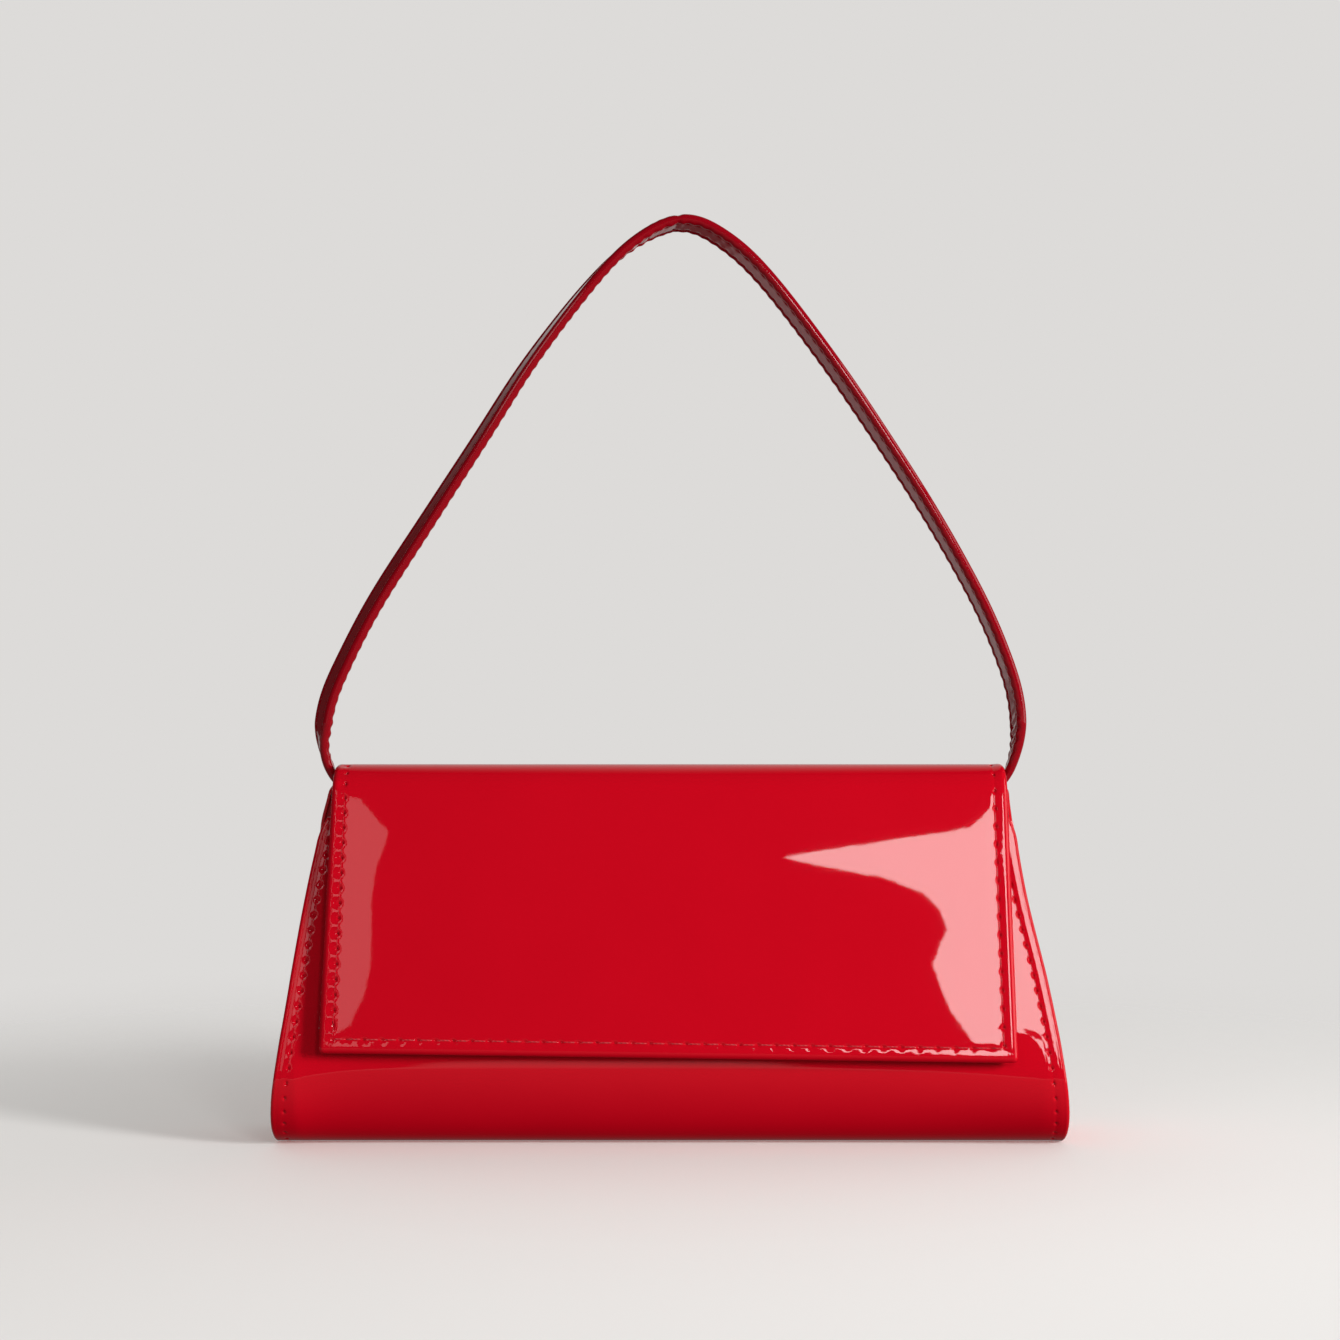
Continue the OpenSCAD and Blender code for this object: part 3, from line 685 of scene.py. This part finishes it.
def strap_size(s):
    """Width and thickness of the strap: narrow where it is sewn, pinched at the foot, then full."""
    up = np.minimum(s, STRAP_LEN - s) - FOOT_S
    wide = np.interp(up, [-FOOT_S, -14, -4, 0, 4, 11.5, 18, 24],
                     [END_W, END_W, NECK_W, NECK_W, 6.3, 9.3, 11.7, STRAP_W])
    thick = np.interp(up, [-FOOT_S, -14, -3, 20], [END_T, END_T, NECK_T, STRAP_T])
    return wide, thick


def strap_section(s):
    """The section's points (across, outward) at every s: rolled edges and two grooves a face."""
    wide, thick = strap_size(s)
    full = share_of(wide - NECK_W, STRAP_W - NECK_W)
    hole = from_hole(s, STRAP_PITCH, STRAP_PHASE)[0]
    scallop = STRAP_SCALLOP * full * np.cos(2 * math.pi * hole / STRAP_PITCH)
    r, hw = thick / 2 + STRAP_BEAD * full, wide / 2
    points = []
    lanes = [1.0, 0.93, 0.87, 0.82, 0.785, 0.755, 0.725, 0.69, 0.64, 0.57, 0.45, 0.25, 0.0]
    lanes = lanes + [-v for v in lanes[-2::-1]]

    def face(sign, order):
        for v in order:
            c = v * (hw - r)
            inside = hw - np.abs(c) - STRAP_ROW_IN
            groove = -0.10 * bell(inside, 0.4) - 0.45 * bell(np.hypot(inside, hole), 0.5)
            sunk = full * (STRAP_BEAD + 0.1) * (0.5 - 0.5 * math.cos(math.pi * min((1 - abs(v)) / 0.3, 1)))
            level = r - sunk
            if sign < 0:
                level = level * (1 - scallop * v * v)
            points.append((c, sign * (level + full * groove)))

    def edge(sign):
        for a in np.radians(np.arange(80, -81, -10)):
            ends = sign * math.sin(a)
            size = r * (1 - scallop * max(0.0, -ends - 0.3) ** 2 / 0.49)
            points.append((sign * (hw - r + size * math.cos(a)), size * ends))

    edge(1)
    face(-1, lanes)
    edge(-1)
    face(1, lanes[::-1])
    return (np.stack([np.broadcast_to(p[k], s.shape) for p in points], axis=1) for k in (0, 1))


def strap_skin():
    build = Build()
    s = np.append(np.arange(0, STRAP_LEN - 0.1, 0.5), STRAP_LEN)
    centre, out, side = strap_frame(s)
    across, outward = strap_section(s)
    # Near its feet the strap is gathered, so its inner face puckers.
    up = np.minimum(s, STRAP_LEN - s)[:, None] - FOOT_S
    inner = share_of(-outward, 1.2)
    pucker = PUCKER * bell(up - PUCKER_UP, 8) * np.sin(up * 1.7 + across * 0.9) * inner
    # At its top it has taken a crease, with its inner face wavy to one side.
    top = len(s) // 4
    past = s[:, None] - s[top + np.argmin(np.abs(centre[top:-top, 0] - CREASE_X))] + across * 0.25
    crease = -CREASE * bell(past, 0.9)
    crease = crease + 0.05 * bell(past + 6, 4.5) * np.cos(past * 2.1)
    crease = crease + 0.14 * bell(past + 13, 9) * np.sin(past * 1.5) * inner
    outward = outward + np.sign(outward) * pucker + np.clip(outward / 1.2, -1, 1) * crease
    points = centre[:, None] + across[..., None] * side[:, None] + outward[..., None] * out[:, None]
    rings = build.grid(points, wrap=True)
    build.cap(rings[0][::-1])
    build.cap(rings[-1])
    return build.object("strap_sheet")


def strap_threads():
    build = Build()
    s = holes(FOOT_S + 14, STRAP_LEN - FOOT_S - 14, STRAP_PITCH, STRAP_PHASE)
    centre, out, side = strap_frame(s)
    wide, thick = strap_size(s)
    for face in (1, -1):
        for edge in (1, -1):
            lane = edge * (wide / 2 - STRAP_ROW_IN)
            places = centre + lane[:, None] * side + (face * thick / 2 * 0.94)[:, None] * out
            thread_run(build, places, face * out, *STRAP_THREAD)
    return build.object("strap_stitches")


# ---------------------------------------------------------------- gussets and the inside

def end_web(name, side, depth, off, thick, flange=()):
    """One end wall: a web that sinks in two soft folds, with flanges sewn inside the panels.

    depth is how far its middle lies under the panels' outer surface, and off how far the web
    lies inside the gusset's own.
    """
    build = Build()
    reach = (CASE.length - (FOLD_Z - MOUTH_Z) / COS) / 2
    share = np.linspace(-1, 1, 33)
    bulge = 1 - share ** 2
    curl = 1.5 * np.clip(1 - 6 * (1 - np.abs(share)), 0, 1) ** 2 if flange else 0.0
    rows = []
    for s in np.concatenate([np.linspace(1.5, 100, 70), np.linspace(101, reach - 0.15, 34)]):
        y, z = (float(v) for v in CASE.at(s, -depth))
        w = float(half_w(z))
        sink = SAG * bulge * share_of(z - 2, 22)
        fold = 0.5 * np.cos(share * math.pi * 3) * bulge * share_of(z - 14, 40)
        web = np.stack([w - SEAM_W + 0.6 - off - sink + fold + curl, abs(y) * share,
                        z + (math.hypot(z, 0.5 * y) - z) * bulge], axis=1)
        front = np.array([(w - d, y, z) for d in flange]).reshape(-1, 3)
        rows.append(np.concatenate([front, web, front[::-1] * [1, -1, 1]]))
    middle = np.array(rows)
    n = np.cross(np.gradient(middle, axis=1), np.gradient(middle, axis=0))
    n = n / np.maximum(np.linalg.norm(n, axis=-1), 1e-9)[..., None]
    build.close(*(build.grid((middle + face * thick / 2 * n) * [side, 1, 1]) for face in (1, -1)))
    return build.object(name)


def gusset_sheet(side, name):
    flange = (1.4, 2.4, 3.6, 4.8, 5.6)
    return end_web("gusset_sheet_" + name, side, BOARD_IN + SKIN_T / 2, 0.0, 0.96 * SKIN_T, flange)


def gusset_cloth(side, name):
    return end_web("gusset_cloth_" + name, side, LINING_IN + PARED_T + 0.5, 4.0, LINING_T)


def inner_slab(name, t0, t1, s_rows, half_of, step, edges, relief=None):
    """A slab along the case's inner side, from t0 to t1 under the outer surface."""
    build = Build()
    x, s = sheet_rows(s_rows, half_of, edges, step)
    edge = np.minimum(half_of(s) - np.abs(x), np.minimum(s - s_rows[0], s_rows[-1] - s))
    half_t = (t1 - t0) / 2
    more = relief(x, s) if relief else 0.0
    face = build.grid(case_point(x, s, -(t1 + rounding(edge, half_t * 1.2, half_t) + more)))
    s_in = [s_rows[0] + half_t * 0.5] + list(s_rows[2:-2:2]) + [s_rows[-1] - half_t * 0.5]
    x, s = sheet_rows(s_in, half_of, [half_t * 0.5, edges[-1]], step * 2)
    build.close(face, build.grid(case_point(x, s, -t0)))
    return build.object(name)


def lining_half(s):
    return half_w(CASE.at(s)[1]) - SEAM_W - LINING_SIDE


def fine_ends(first, last, step):
    """Rows from first to last, fine at both ends for their rounding."""
    return np.concatenate([first + np.array([0, 0.2, 0.6]), np.arange(first + 1.2, last - 1, step),
                           last - np.array([0.6, 0.2, 0])])


def back_s(z):
    """How far along the case's path the back has that height."""
    return CASE.length - (FOLD_Z - z) / COS


def case_board(name, first, last):
    """One of the fibre boards that keep the panels flat."""
    return inner_slab(name, BOARD_IN, BOARD_IN + BOARD_T, fine_ends(first, last, 4.0), lining_half,
                      8.0, [0, 0.3, 0.8, 4.0])


def lining_cloth():
    """The lining hangs from the facings, slack on the front and the base, flat behind the pocket."""
    first, last = FACING_H + 0.2, CASE.length - FACING_H - 0.2

    def slackness(x, s):
        calm = share_of(s - first, 12) * share_of(CASE.length * 0.62 - s, 20)
        calm = calm * share_of(lining_half(s) - np.abs(x), 12)
        return calm * (0.35 + waves(x, s, 7, 0.6, 6, 22, 70))

    return inner_slab("lining_cloth", LINING_IN, LINING_IN + LINING_T, fine_ends(first, last, 2.2),
                      lining_half, 3.0, [0, 0.1, 0.3, 0.7, 2.0, 6.0], slackness)


def facing(name, first, last):
    """A strip of the glossy sheet along the mouth, sewn down over the lining's edge."""
    low = last if first < CASE.length / 2 else first

    def seam(x, s):
        row = np.abs(s - low) - FACING_ROW_IN
        hole = from_hole(x, FACING_PITCH, FACING_PHASE)[0]
        return -0.08 * bell(row, 0.5) - 0.25 * bell(np.hypot(row, hole), 0.45)

    return inner_slab(name, LINING_IN, LINING_IN + PARED_T, fine_ends(first, last, 0.5), lining_half,
                      1.0, [0, 0.1, 0.25, 0.5, 0.9, 2.0], seam)


def facing_threads(name, low, way):
    reach = float(lining_half(low)) - FACING_ROW_IN
    x = holes(-reach, reach, FACING_PITCH, FACING_PHASE)
    return stitched(name, case_point, [(x, 0 * x + low + way * FACING_ROW_IN, LINING_IN + PARED_T)])


def pocket_cloth():
    """A flat pocket on the back's lining, with a doubled hem that stands a little open."""
    low, high = back_s(POCKET_LOW), back_s(POCKET_HIGH)
    first = LINING_IN + LINING_T + GAP

    def hem(x, s):
        doubled = 0.45 * share_of(s - (high - POCKET_HEM - 1), 0.4)
        return doubled - 0.12 * bell(s - (high - POCKET_HEM), 0.5)

    return inner_slab("pocket_cloth", first, first + LINING_T, fine_ends(low, high, 0.8),
                      lambda s: POCKET_HALF + 0 * s, 2.0, [0, 0.1, 0.3, 0.7, 1.4, 2.0, 3.0], hem)


def pocket_threads():
    low, high = back_s(POCKET_LOW), back_s(POCKET_HIGH)
    depth = LINING_IN + 2 * LINING_T + GAP
    side, foot = POCKET_HALF - POCKET_ROW_IN, low + POCKET_ROW_IN
    s = np.arange(foot, high - 0.5, POCKET_PITCH)
    x = np.linspace(-side, side, 43)
    return stitched("pocket_stitches", case_point, [
        (0 * s - side, s, depth), (0 * s + side, s, depth), (x, 0 * x + foot, depth),
        (x, 0 * x + high - POCKET_HEM, depth + 0.33)])


def turned_metal(name, profile):
    """A round piece of the snap; its profile is (radius, height above the front panel) from the axis."""
    build = Build()
    turn = np.arange(72)[:, None] * 2 * math.pi / 72
    across = np.cos(turn) * [1, 0, 0] + np.sin(turn) * [0, SIN, COS]
    rings = []
    for radius, height in profile:
        y, z = CASE.at((MOUTH_Z - SNAP_Z) / COS, height)
        rings.append(np.array([0.0, float(y), float(z)]) + radius * across)
    grid = build.grid(np.array(rings), wrap=True)
    build.cap(grid[0])
    build.cap(grid[-1][::-1])
    return build.object(name, 35.0)


def snap_socket_cup():
    """The fixed half's pressed cup, open below for the magnet and dished for the stud."""
    return turned_metal("snap_socket_cup", [
        (2.7, 0.4), (2.84, 0.44), (2.9, 0.56), (2.9, 1.3), (2.96, 1.44), (3.1, 1.5), (4.3, 1.5), (4.42, 1.4),
        (4.6, 1.4), (4.72, 1.5), (6.3, 1.5), (6.65, 1.42), (6.88, 1.2), (7.0, 0.9), (7.0, 0.02), (6.65, 0.02),
        (6.65, 1.1), (3.25, 1.1), (3.25, 0.05), (2.7, 0.05)])


def snap_stud_disc():
    """The moving half's plate with its blunt stud, which reaches into the cup."""
    return turned_metal("snap_stud_disc", [(radius, FLAP_GAP - down) for radius, down in (
        (6.9, 0.01), (7.0, 0.1), (7.0, 0.25), (6.9, 0.42), (6.65, 0.55), (2.75, 0.55), (2.5, 0.6),
        (2.4, 0.75), (2.4, 1.45), (2.3, 1.68), (2.1, 1.8), (1.3, 1.82))])


# ---------------------------------------------------------------- materials

def srgb(hex_code):
    """A colour written as #RRGGBB, as the linear values that a shader takes."""
    parts = [int(hex_code[i:i + 2], 16) / 255 for i in (1, 3, 5)]
    return [p / 12.92 if p <= 0.04045 else ((p + 0.055) / 1.055) ** 2.4 for p in parts] + [1.0]


def node(tree, kind, inputs=None, **attributes):
    """Adds a node, sets its attributes, and sets each input to a value or links it to a socket."""
    made = tree.nodes.new(kind)
    for key, value in attributes.items():
        setattr(made, key, value)
    for key, value in (inputs or {}).items():
        if isinstance(value, bpy.types.NodeSocket):
            tree.links.new(value, made.inputs[key])
        else:
            made.inputs[key].default_value = value
    return made


def empty_tree(owner):
    owner.use_nodes = True
    owner.node_tree.nodes.clear()
    return owner.node_tree


def new_material(name):
    """A material with its empty tree, and the places on the object in metres."""
    material = bpy.data.materials.new(name)
    tree = empty_tree(material)
    return material, tree, node(tree, "ShaderNodeTexCoord").outputs["Object"]


def finish_material(material, inputs, kind="ShaderNodeBsdfPrincipled"):
    """Ends a material in a shader with those inputs, and hands it over."""
    shader = node(material.node_tree, kind, inputs).outputs[0]
    node(material.node_tree, "ShaderNodeOutputMaterial", {"Surface": shader})
    return material


def per_metre(wavelength_mm):
    """A noise scale for a pattern of that size."""
    return 1000.0 / wavelength_mm


def noise(tree, place, wavelength_mm, detail, **more):
    inputs = {"Vector": place, "Scale": per_metre(wavelength_mm), "Detail": detail, **more}
    return node(tree, "ShaderNodeTexNoise", inputs).outputs["Fac"]


def stripes(tree, place, wavelength_mm, distortion, way):
    inputs = {"Vector": place, "Scale": per_metre(wavelength_mm) / 6.28, "Distortion": distortion}
    return node(tree, "ShaderNodeTexWave", inputs, bands_direction=way).outputs["Fac"]


def bump(tree, height, strength, distance_m, **more):
    inputs = {"Height": height, "Strength": strength, "Distance": distance_m, **more}
    return node(tree, "ShaderNodeBump", inputs).outputs["Normal"]


def mix_colour(tree, factor, a, b):
    inputs = {"Factor": factor, 6: srgb(a), 7: srgb(b)}
    return node(tree, "ShaderNodeMix", inputs, data_type="RGBA").outputs[2]


def maths(tree, operation, *values):
    return node(tree, "ShaderNodeMath", dict(enumerate(values)), operation=operation).outputs[0]


def ranged(tree, value, low, high, to_low=0.0, to_high=1.0, kind="SMOOTHSTEP"):
    """The value, carried from one range to another and kept inside it."""
    inputs = {"Value": value, "From Min": low, "From Max": high, "To Min": to_low, "To Max": to_high}
    return node(tree, "ShaderNodeMapRange", inputs, interpolation_type=kind).outputs["Result"]


def patent_material(name, dark, light, coat_rough):
    """Polyurethane-coated split leather: dyed red, with a poured, mirror-smooth clear coat. Where a darker
    pair of colours is given, as for the strap, that darkness is painted shade.
    """
    material, tree, place = new_material(name)
    swell = bump(tree, noise(tree, place, 14, 1.0), 1.0, 0.0000015)
    ripple = bump(tree, noise(tree, place, 3.2, 2.0, Roughness=0.6), 1.0, 0.0000012, Normal=swell)
    return finish_material(material, {
        "Base Color": mix_colour(tree, noise(tree, place, 28, 3.0), dark, light),
        "Roughness": 0.42, "IOR": 1.45, "Specular IOR Level": 0.0, "Normal": ripple,
        "Coat Weight": 1.0, "Coat Roughness": coat_rough, "Coat IOR": 1.4, "Coat Normal": ripple})


def thread_material():
    """Bonded polyester thread, twisted from three plies."""
    material, tree, place = new_material("bonded_polyester_thread")
    ply = stripes(tree, place, 0.35, 1.0, "DIAGONAL")
    return finish_material(material, {
        "Base Color": mix_colour(tree, ply, "#A80A18", "#D01828"),
        "Roughness": 0.4, "Sheen Weight": 0.2, "Normal": bump(tree, ply, 0.6, 0.00005)})


def cloth_material():
    """Plain-woven polyester lining, about 16 threads to the centimetre."""
    material, tree, place = new_material("woven_polyester_lining")
    warp, weft = (stripes(tree, place, 0.62, 0.4, way) for way in ("X", "Z"))
    cross = maths(tree, "MULTIPLY", warp, weft)
    shade = maths(tree, "MULTIPLY", cross, noise(tree, place, 18, 4.0))
    return finish_material(material, {
        "Base Color": mix_colour(tree, shade, "#641019", "#96202E"), "Roughness": 0.72,
        "Specular IOR Level": 0.25, "Sheen Weight": 0.06, "Normal": bump(tree, cross, 0.5, 0.0001)})


def board_material():
    """Pressed leather-fibre board, cut from a grey-brown sheet."""
    material, tree, place = new_material("pressed_fibre_board")
    fleck = noise(tree, place, 0.9, 6.0)
    return finish_material(material, {
        "Base Color": mix_colour(tree, fleck, "#9A9184", "#CFC8BB"),
        "Roughness": 0.85, "Normal": bump(tree, fleck, 0.3, 0.0001)})


def metal_material(name, light, dark, rough_low, rough_high):
    """Pressed and plated steel: fine marks from the press and from handling."""
    material, tree, place = new_material(name)
    rub = noise(tree, place, 1.4, 5.0)
    return finish_material(material, {
        "Base Color": mix_colour(tree, rub, dark, light), "Metallic": 1.0,
        "Roughness": ranged(tree, rub, 0.0, 1.0, rough_low, rough_high, "LINEAR")})


# ---------------------------------------------------------------- the scene round the bag

PALE, WHITE = "#DDDBD9", "#FFFFFF"
# The light cards' outlines in metres. Those of the first four are (x, z) on an upright plane that
# stands square to Y, and those of the last two are (y, z) on one that stands square to X.
FRONT_CARD_Y_M, SIDE_CARD_X_M = -1.25, 1.5
RIGHT_CARD_M = [(0.098, 0.594), (0.154, 0.605), (0.204, 0.612), (0.231, 0.614), (0.258, 0.621),
                (0.274, 0.638), (0.300, 0.665), (0.38, 0.80), (0.52, 0.80), (0.52, 0.40),
                (0.34, 0.432), (0.294, 0.432), (0.292, 0.413), (0.275, 0.413), (0.251, 0.428),
                (0.232, 0.458), (0.218, 0.497), (0.225, 0.514), (0.232, 0.528), (0.228, 0.545),
                (0.216, 0.561), (0.179, 0.577), (0.111, 0.590)]
LEFT_CARD_M = [(-0.241, 0.617), (-0.256, 0.633), (-0.267, 0.647), (-0.285, 0.654), (-0.289, 0.655),
               (-0.289, 0.415), (-0.278, 0.436), (-0.264, 0.445), (-0.253, 0.475), (-0.249, 0.502),
               (-0.252, 0.555), (-0.250, 0.582), (-0.243, 0.605)]
FAR_LEFT_CARD_M = [(-0.362, 0.66), (-0.46, 0.70), (-0.46, 0.30), (-0.362, 0.36)]
UPPER_LEFT_CARD_M = [(-0.40, 0.72), (-0.52, 0.60), (-1.15, 1.05), (-1.05, 1.35)]
SIDE_CARD_M = [(-1.0, 0.0), (0.1, 0.0), (0.1, 1.1), (-1.0, 1.1)]
STRAP_CARD_M = [(-0.5, 1.15), (0.35, 1.15), (0.35, 1.45), (-0.5, 1.45)]
# Each card's name, outline, strength, and whether it stands square to Y and lights the scene.
CARDS = [("right_card", RIGHT_CARD_M, 12.6, True), ("left_card", LEFT_CARD_M, 2.0, True),
         ("far_left_card", FAR_LEFT_CARD_M, 1.2, True), ("upper_left_card", UPPER_LEFT_CARD_M, 2.5, True),
         ("side_card", SIDE_CARD_M, 2.5, False), ("strap_card", STRAP_CARD_M, 3.0, False)]

FLOOR_HALF_M, FLOOR_FADE_M = 3.0, (0.1, 0.6)

# The key lamp's size and distance in metres, its power in watts, the way to it and what it aims at.
KEY_SIZE_M, KEY_FAR_M, KEY_POWER = 0.6, 1.8, 60.0
KEY_WAY, KEY_AIM_M = Vector((0.82, -0.52, 0.24)), Vector((0, 0, 0.07))

# How pale the world is by height, from straight down at 0 to the horizon at 1: the thin bright
# line at the horizon, the pale rear that fades downwards, and a band low behind the bag.
HORIZON = [(0.3, 0.12), (0.6, 0.22), (0.9, 0.28), (0.955, 0.32), (0.982, 1.0), (0.99, 0.0)]
REAR = [(0.55, 0.0), (0.66, 0.35), (0.86, 0.4), (0.98, 1.0)]
REAR_BAND = [(0.55, 0.0), (0.62, 1.0), (0.84, 1.0), (0.92, 0.0)]


def stage_object(name, data, **attributes):
    """Puts a lamp, a card or the floor round the bag, with its place and what may see it."""
    thing = bpy.data.objects.new(name, data)
    for key, value in attributes.items():
        setattr(thing, key, value)
    bpy.context.scene.collection.objects.link(thing)


def flat_mesh(name, corners, material):
    mesh = bpy.data.meshes.new(name)
    mesh.from_pydata(corners, [], [list(range(len(corners)))])
    mesh.materials.append(material)
    return mesh


def light_card(name, outline, strength, square_to_y):
    """A glowing card that shows only in the gloss; one that stands square to Y lights the bag too."""
    if square_to_y:
        corners = [(x, FRONT_CARD_Y_M, z) for x, z in outline]
    else:
        corners = [(SIDE_CARD_X_M, y, z) for y, z in outline]
    material = bpy.data.materials.new(name)
    empty_tree(material)
    finish_material(material, {"Color": srgb(WHITE), "Strength": strength}, "ShaderNodeEmission")
    stage_object(name, flat_mesh(name, corners, material), visible_camera=False, visible_diffuse=square_to_y)


def floor():
    """Painted board under the bag, which fades out round it."""
    material, tree, place = new_material("painted_board_floor")
    far = node(tree, "ShaderNodeVectorMath", {0: place}, operation="LENGTH").outputs["Value"]
    paint = node(tree, "ShaderNodeBsdfPrincipled", {
        "Base Color": srgb("#F2F0EE"), "Roughness": 0.85, "Specular IOR Level": 0.1,
        "Emission Color": srgb("#FFFAF0"), "Emission Strength": 0.14})
    gone = node(tree, "ShaderNodeBsdfTransparent")
    fade = ranged(tree, far, *FLOOR_FADE_M)
    finish_material(material, {0: fade, 1: paint.outputs[0], 2: gone.outputs[0]}, "ShaderNodeMixShader")
    h = FLOOR_HALF_M
    mesh = flat_mesh("floor", [(-h, -h, 0), (h, -h, 0), (h, h, 0), (-h, h, 0)], material)
    stage_object("floor", mesh, visible_glossy=False, visible_diffuse=False)


def key_lamp():
    data = bpy.data.lights.new("key_lamp", "AREA")
    data.size, data.energy = KEY_SIZE_M, KEY_POWER
    stage_object("key_lamp", data, location=KEY_WAY * KEY_FAR_M + KEY_AIM_M,
                 rotation_euler=KEY_WAY.to_track_quat("Z", "Y").to_euler(),
                 visible_camera=False, visible_glossy=False)


def grey_ramp(tree, value, stops, last=0.0):
    """Greys from black at 0, through the stops, to the last at 1."""
    made = node(tree, "ShaderNodeValToRGB", {"Fac": value})
    elements = made.color_ramp.elements
    for place, grey in stops:
        elements.new(place).color = (grey, grey, grey, 1.0)
    elements[0].color = (0.0, 0.0, 0.0, 1.0)
    elements[-1].color = (last, last, last, 1.0)
    return made.outputs["Color"]


def world():
    """Pale to the camera and in reflections from behind the bag; a dim, even fill otherwise."""
    made = bpy.data.worlds.new("studio")
    bpy.context.scene.world = made
    tree = empty_tree(made)

    def glow(colour, strength):
        inputs = {"Color": srgb(colour), "Strength": strength}
        return node(tree, "ShaderNodeBackground", inputs).outputs[0]

    def either(factor, a, b):
        return node(tree, "ShaderNodeMixShader", {0: factor, 1: a, 2: b}).outputs[0]

    rays = node(tree, "ShaderNodeLightPath").outputs
    way = node(tree, "ShaderNodeTexCoord").outputs["Generated"]
    x, y, z = node(tree, "ShaderNodeSeparateXYZ", {"Vector": way}).outputs
    behind = ranged(tree, maths(tree, "MULTIPLY_ADD", maths(tree, "ABSOLUTE", x), -1.2, y),
                    0.05, 0.75, 0.05, 0.95)
    down = ranged(tree, z, -1.0, 0.0, kind="LINEAR")
    upper = maths(tree, "MULTIPLY", behind, grey_ramp(tree, down, REAR, 1.0))
    upper = maths(tree, "MAXIMUM", upper, grey_ramp(tree, down, HORIZON))
    # The strap's inner face mirrors the band low behind the bag.
    lower = maths(tree, "MULTIPLY", ranged(tree, y, 0.55, 0.8, 0.0, 0.75), grey_ramp(tree, down, REAR_BAND))
    room = glow(PALE, maths(tree, "MAXIMUM", upper, lower))
    # The even fill is stronger from behind, and stronger from below than from above.
    fill = glow(WHITE, maths(tree, "MULTIPLY", ranged(tree, y, -0.1, 0.6, 0.20, 0.55),
                             ranged(tree, z, -0.15, 0.15, 1.6, 1.0)))
    shiny = maths(tree, "MAXIMUM", rays["Is Glossy Ray"], rays["Is Transmission Ray"])
    unseen = either(shiny, fill, room)
    node(tree, "ShaderNodeOutputWorld", {"Surface": either(rays["Is Camera Ray"], unseen, glow(PALE, 1.0))})


def camera():
    """The photograph's place and lens."""
    data = bpy.data.cameras.new("camera")
    data.sensor_width = 36.0
    data.sensor_fit = "HORIZONTAL"
    data.lens = 68.0
    data.clip_start = 0.01
    thing = bpy.data.objects.new("camera", data)
    thing.location = (0.0, -0.854, 0.144)
    thing.rotation_euler = (math.radians(90.86), 0.0, 0.0)
    bpy.context.scene.collection.objects.link(thing)
    bpy.context.scene.camera = thing


# ---------------------------------------------------------------- everything together

def dress():
    # Each look is a material and its slot.
    patent = patent_material("patent_coated_leather", "#BD0418", "#C3051A", 0.015), "patent"
    # The strap's copy of the patent is darker all over: painted shade, as the strap gets less light than the
    # case; its coat is also rougher.
    strap_patent_painted_shade = patent_material("patent_strap_painted_shade", "#860210", "#8C0312", 0.06), "patent"
    thread = thread_material(), "patent"
    cloth, board = (cloth_material(), "lining"), (board_material(), "board")
    steel = metal_material("nickel_plated_steel", "#D8D8DA", "#A9AAAE", 0.18, 0.32), "snap_metal"
    magnet = metal_material("plated_ferrite", "#55565A", "#2E2F33", 0.35, 0.5), "magnet"

    fold, swing = ("case", "flap", *FOLD_BEND_M), ("case", "strap", *FOOT_BEND_M)
    finish_piece(case_skin(), patent, "case", "body_wrap")
    finish_piece(flap_skin(), patent, fold, "flap_skin")
    finish_piece(flap_back(), patent, fold, "flap_lining")
    finish_piece(flap_stiffener(), board, "flap", "flap_board")
    finish_piece(case_threads(), thread, "case")
    finish_piece(flap_threads(), thread, fold)

    finish_piece(strap_skin(), strap_patent_painted_shade, swing, "strap", "strap_backing", "strap_core",
                 "strap_end_left", "strap_end_right")
    finish_piece(strap_threads(), thread, "strap")

    arc_start, arc_end = CASE.stretches[1][0], CASE.stretches[4][0]
    front = case_board("front_stiffener", FRONT_BOARD_TOP, arc_start)
    finish_piece(front, board, "case", "front_board")
    back = case_board("back_stiffener", arc_end, CASE.length - BACK_BOARD_TOP)
    finish_piece(back, board, "case", "back_board")
    finish_piece(snap_socket_cup(), steel, "case", "snap_socket")
    finish_piece(snap_stud_disc(), steel, "flap", "snap_stud")

    back_low, back_high = CASE.length - FACING_H, CASE.length - BACK_FACING_TOP
    front = facing("front_facing_sheet", FRONT_FACING_TOP, FACING_H)
    finish_piece(front, patent, "case", "front_facing")
    rear = facing("back_facing_sheet", back_low, back_high)
    finish_piece(rear, patent, "case", "back_facing")
    finish_piece(facing_threads("front_facing_stitches", FACING_H, -1), thread, "case")
    finish_piece(facing_threads("back_facing_stitches", back_low, 1), thread, "case")

    lining = finish_piece(lining_cloth(), cloth, "case", "lining")
    pocket = finish_piece(pocket_cloth(), cloth, "case", "slip_pocket")
    pocket_row = finish_piece(pocket_threads(), (thread[0], "lining"), "case")

    for side, name in ((-1, "left"), (1, "right")):
        web = finish_piece(gusset_sheet(side, name), patent, "case", "gusset_" + name)
        inside = finish_piece(gusset_cloth(side, name), cloth, "case", "gusset_lining_" + name)

    # The nodes that are shown as they are get the same looks by slot.
    slots = {slot: material for material, slot in (patent, board, cloth, steel, magnet)}
    for row in frame["record"]["subparts"]:
        thing = frame["nodes"][row["node"]]
        thing.data.materials.clear()
        thing.data.materials.append(slots[row["material_slot"]])


world()
camera()
floor()
key_lamp()
for card in CARDS:
    light_card(*card)
dress()
bpy.context.scene.view_settings.view_transform = "Standard"
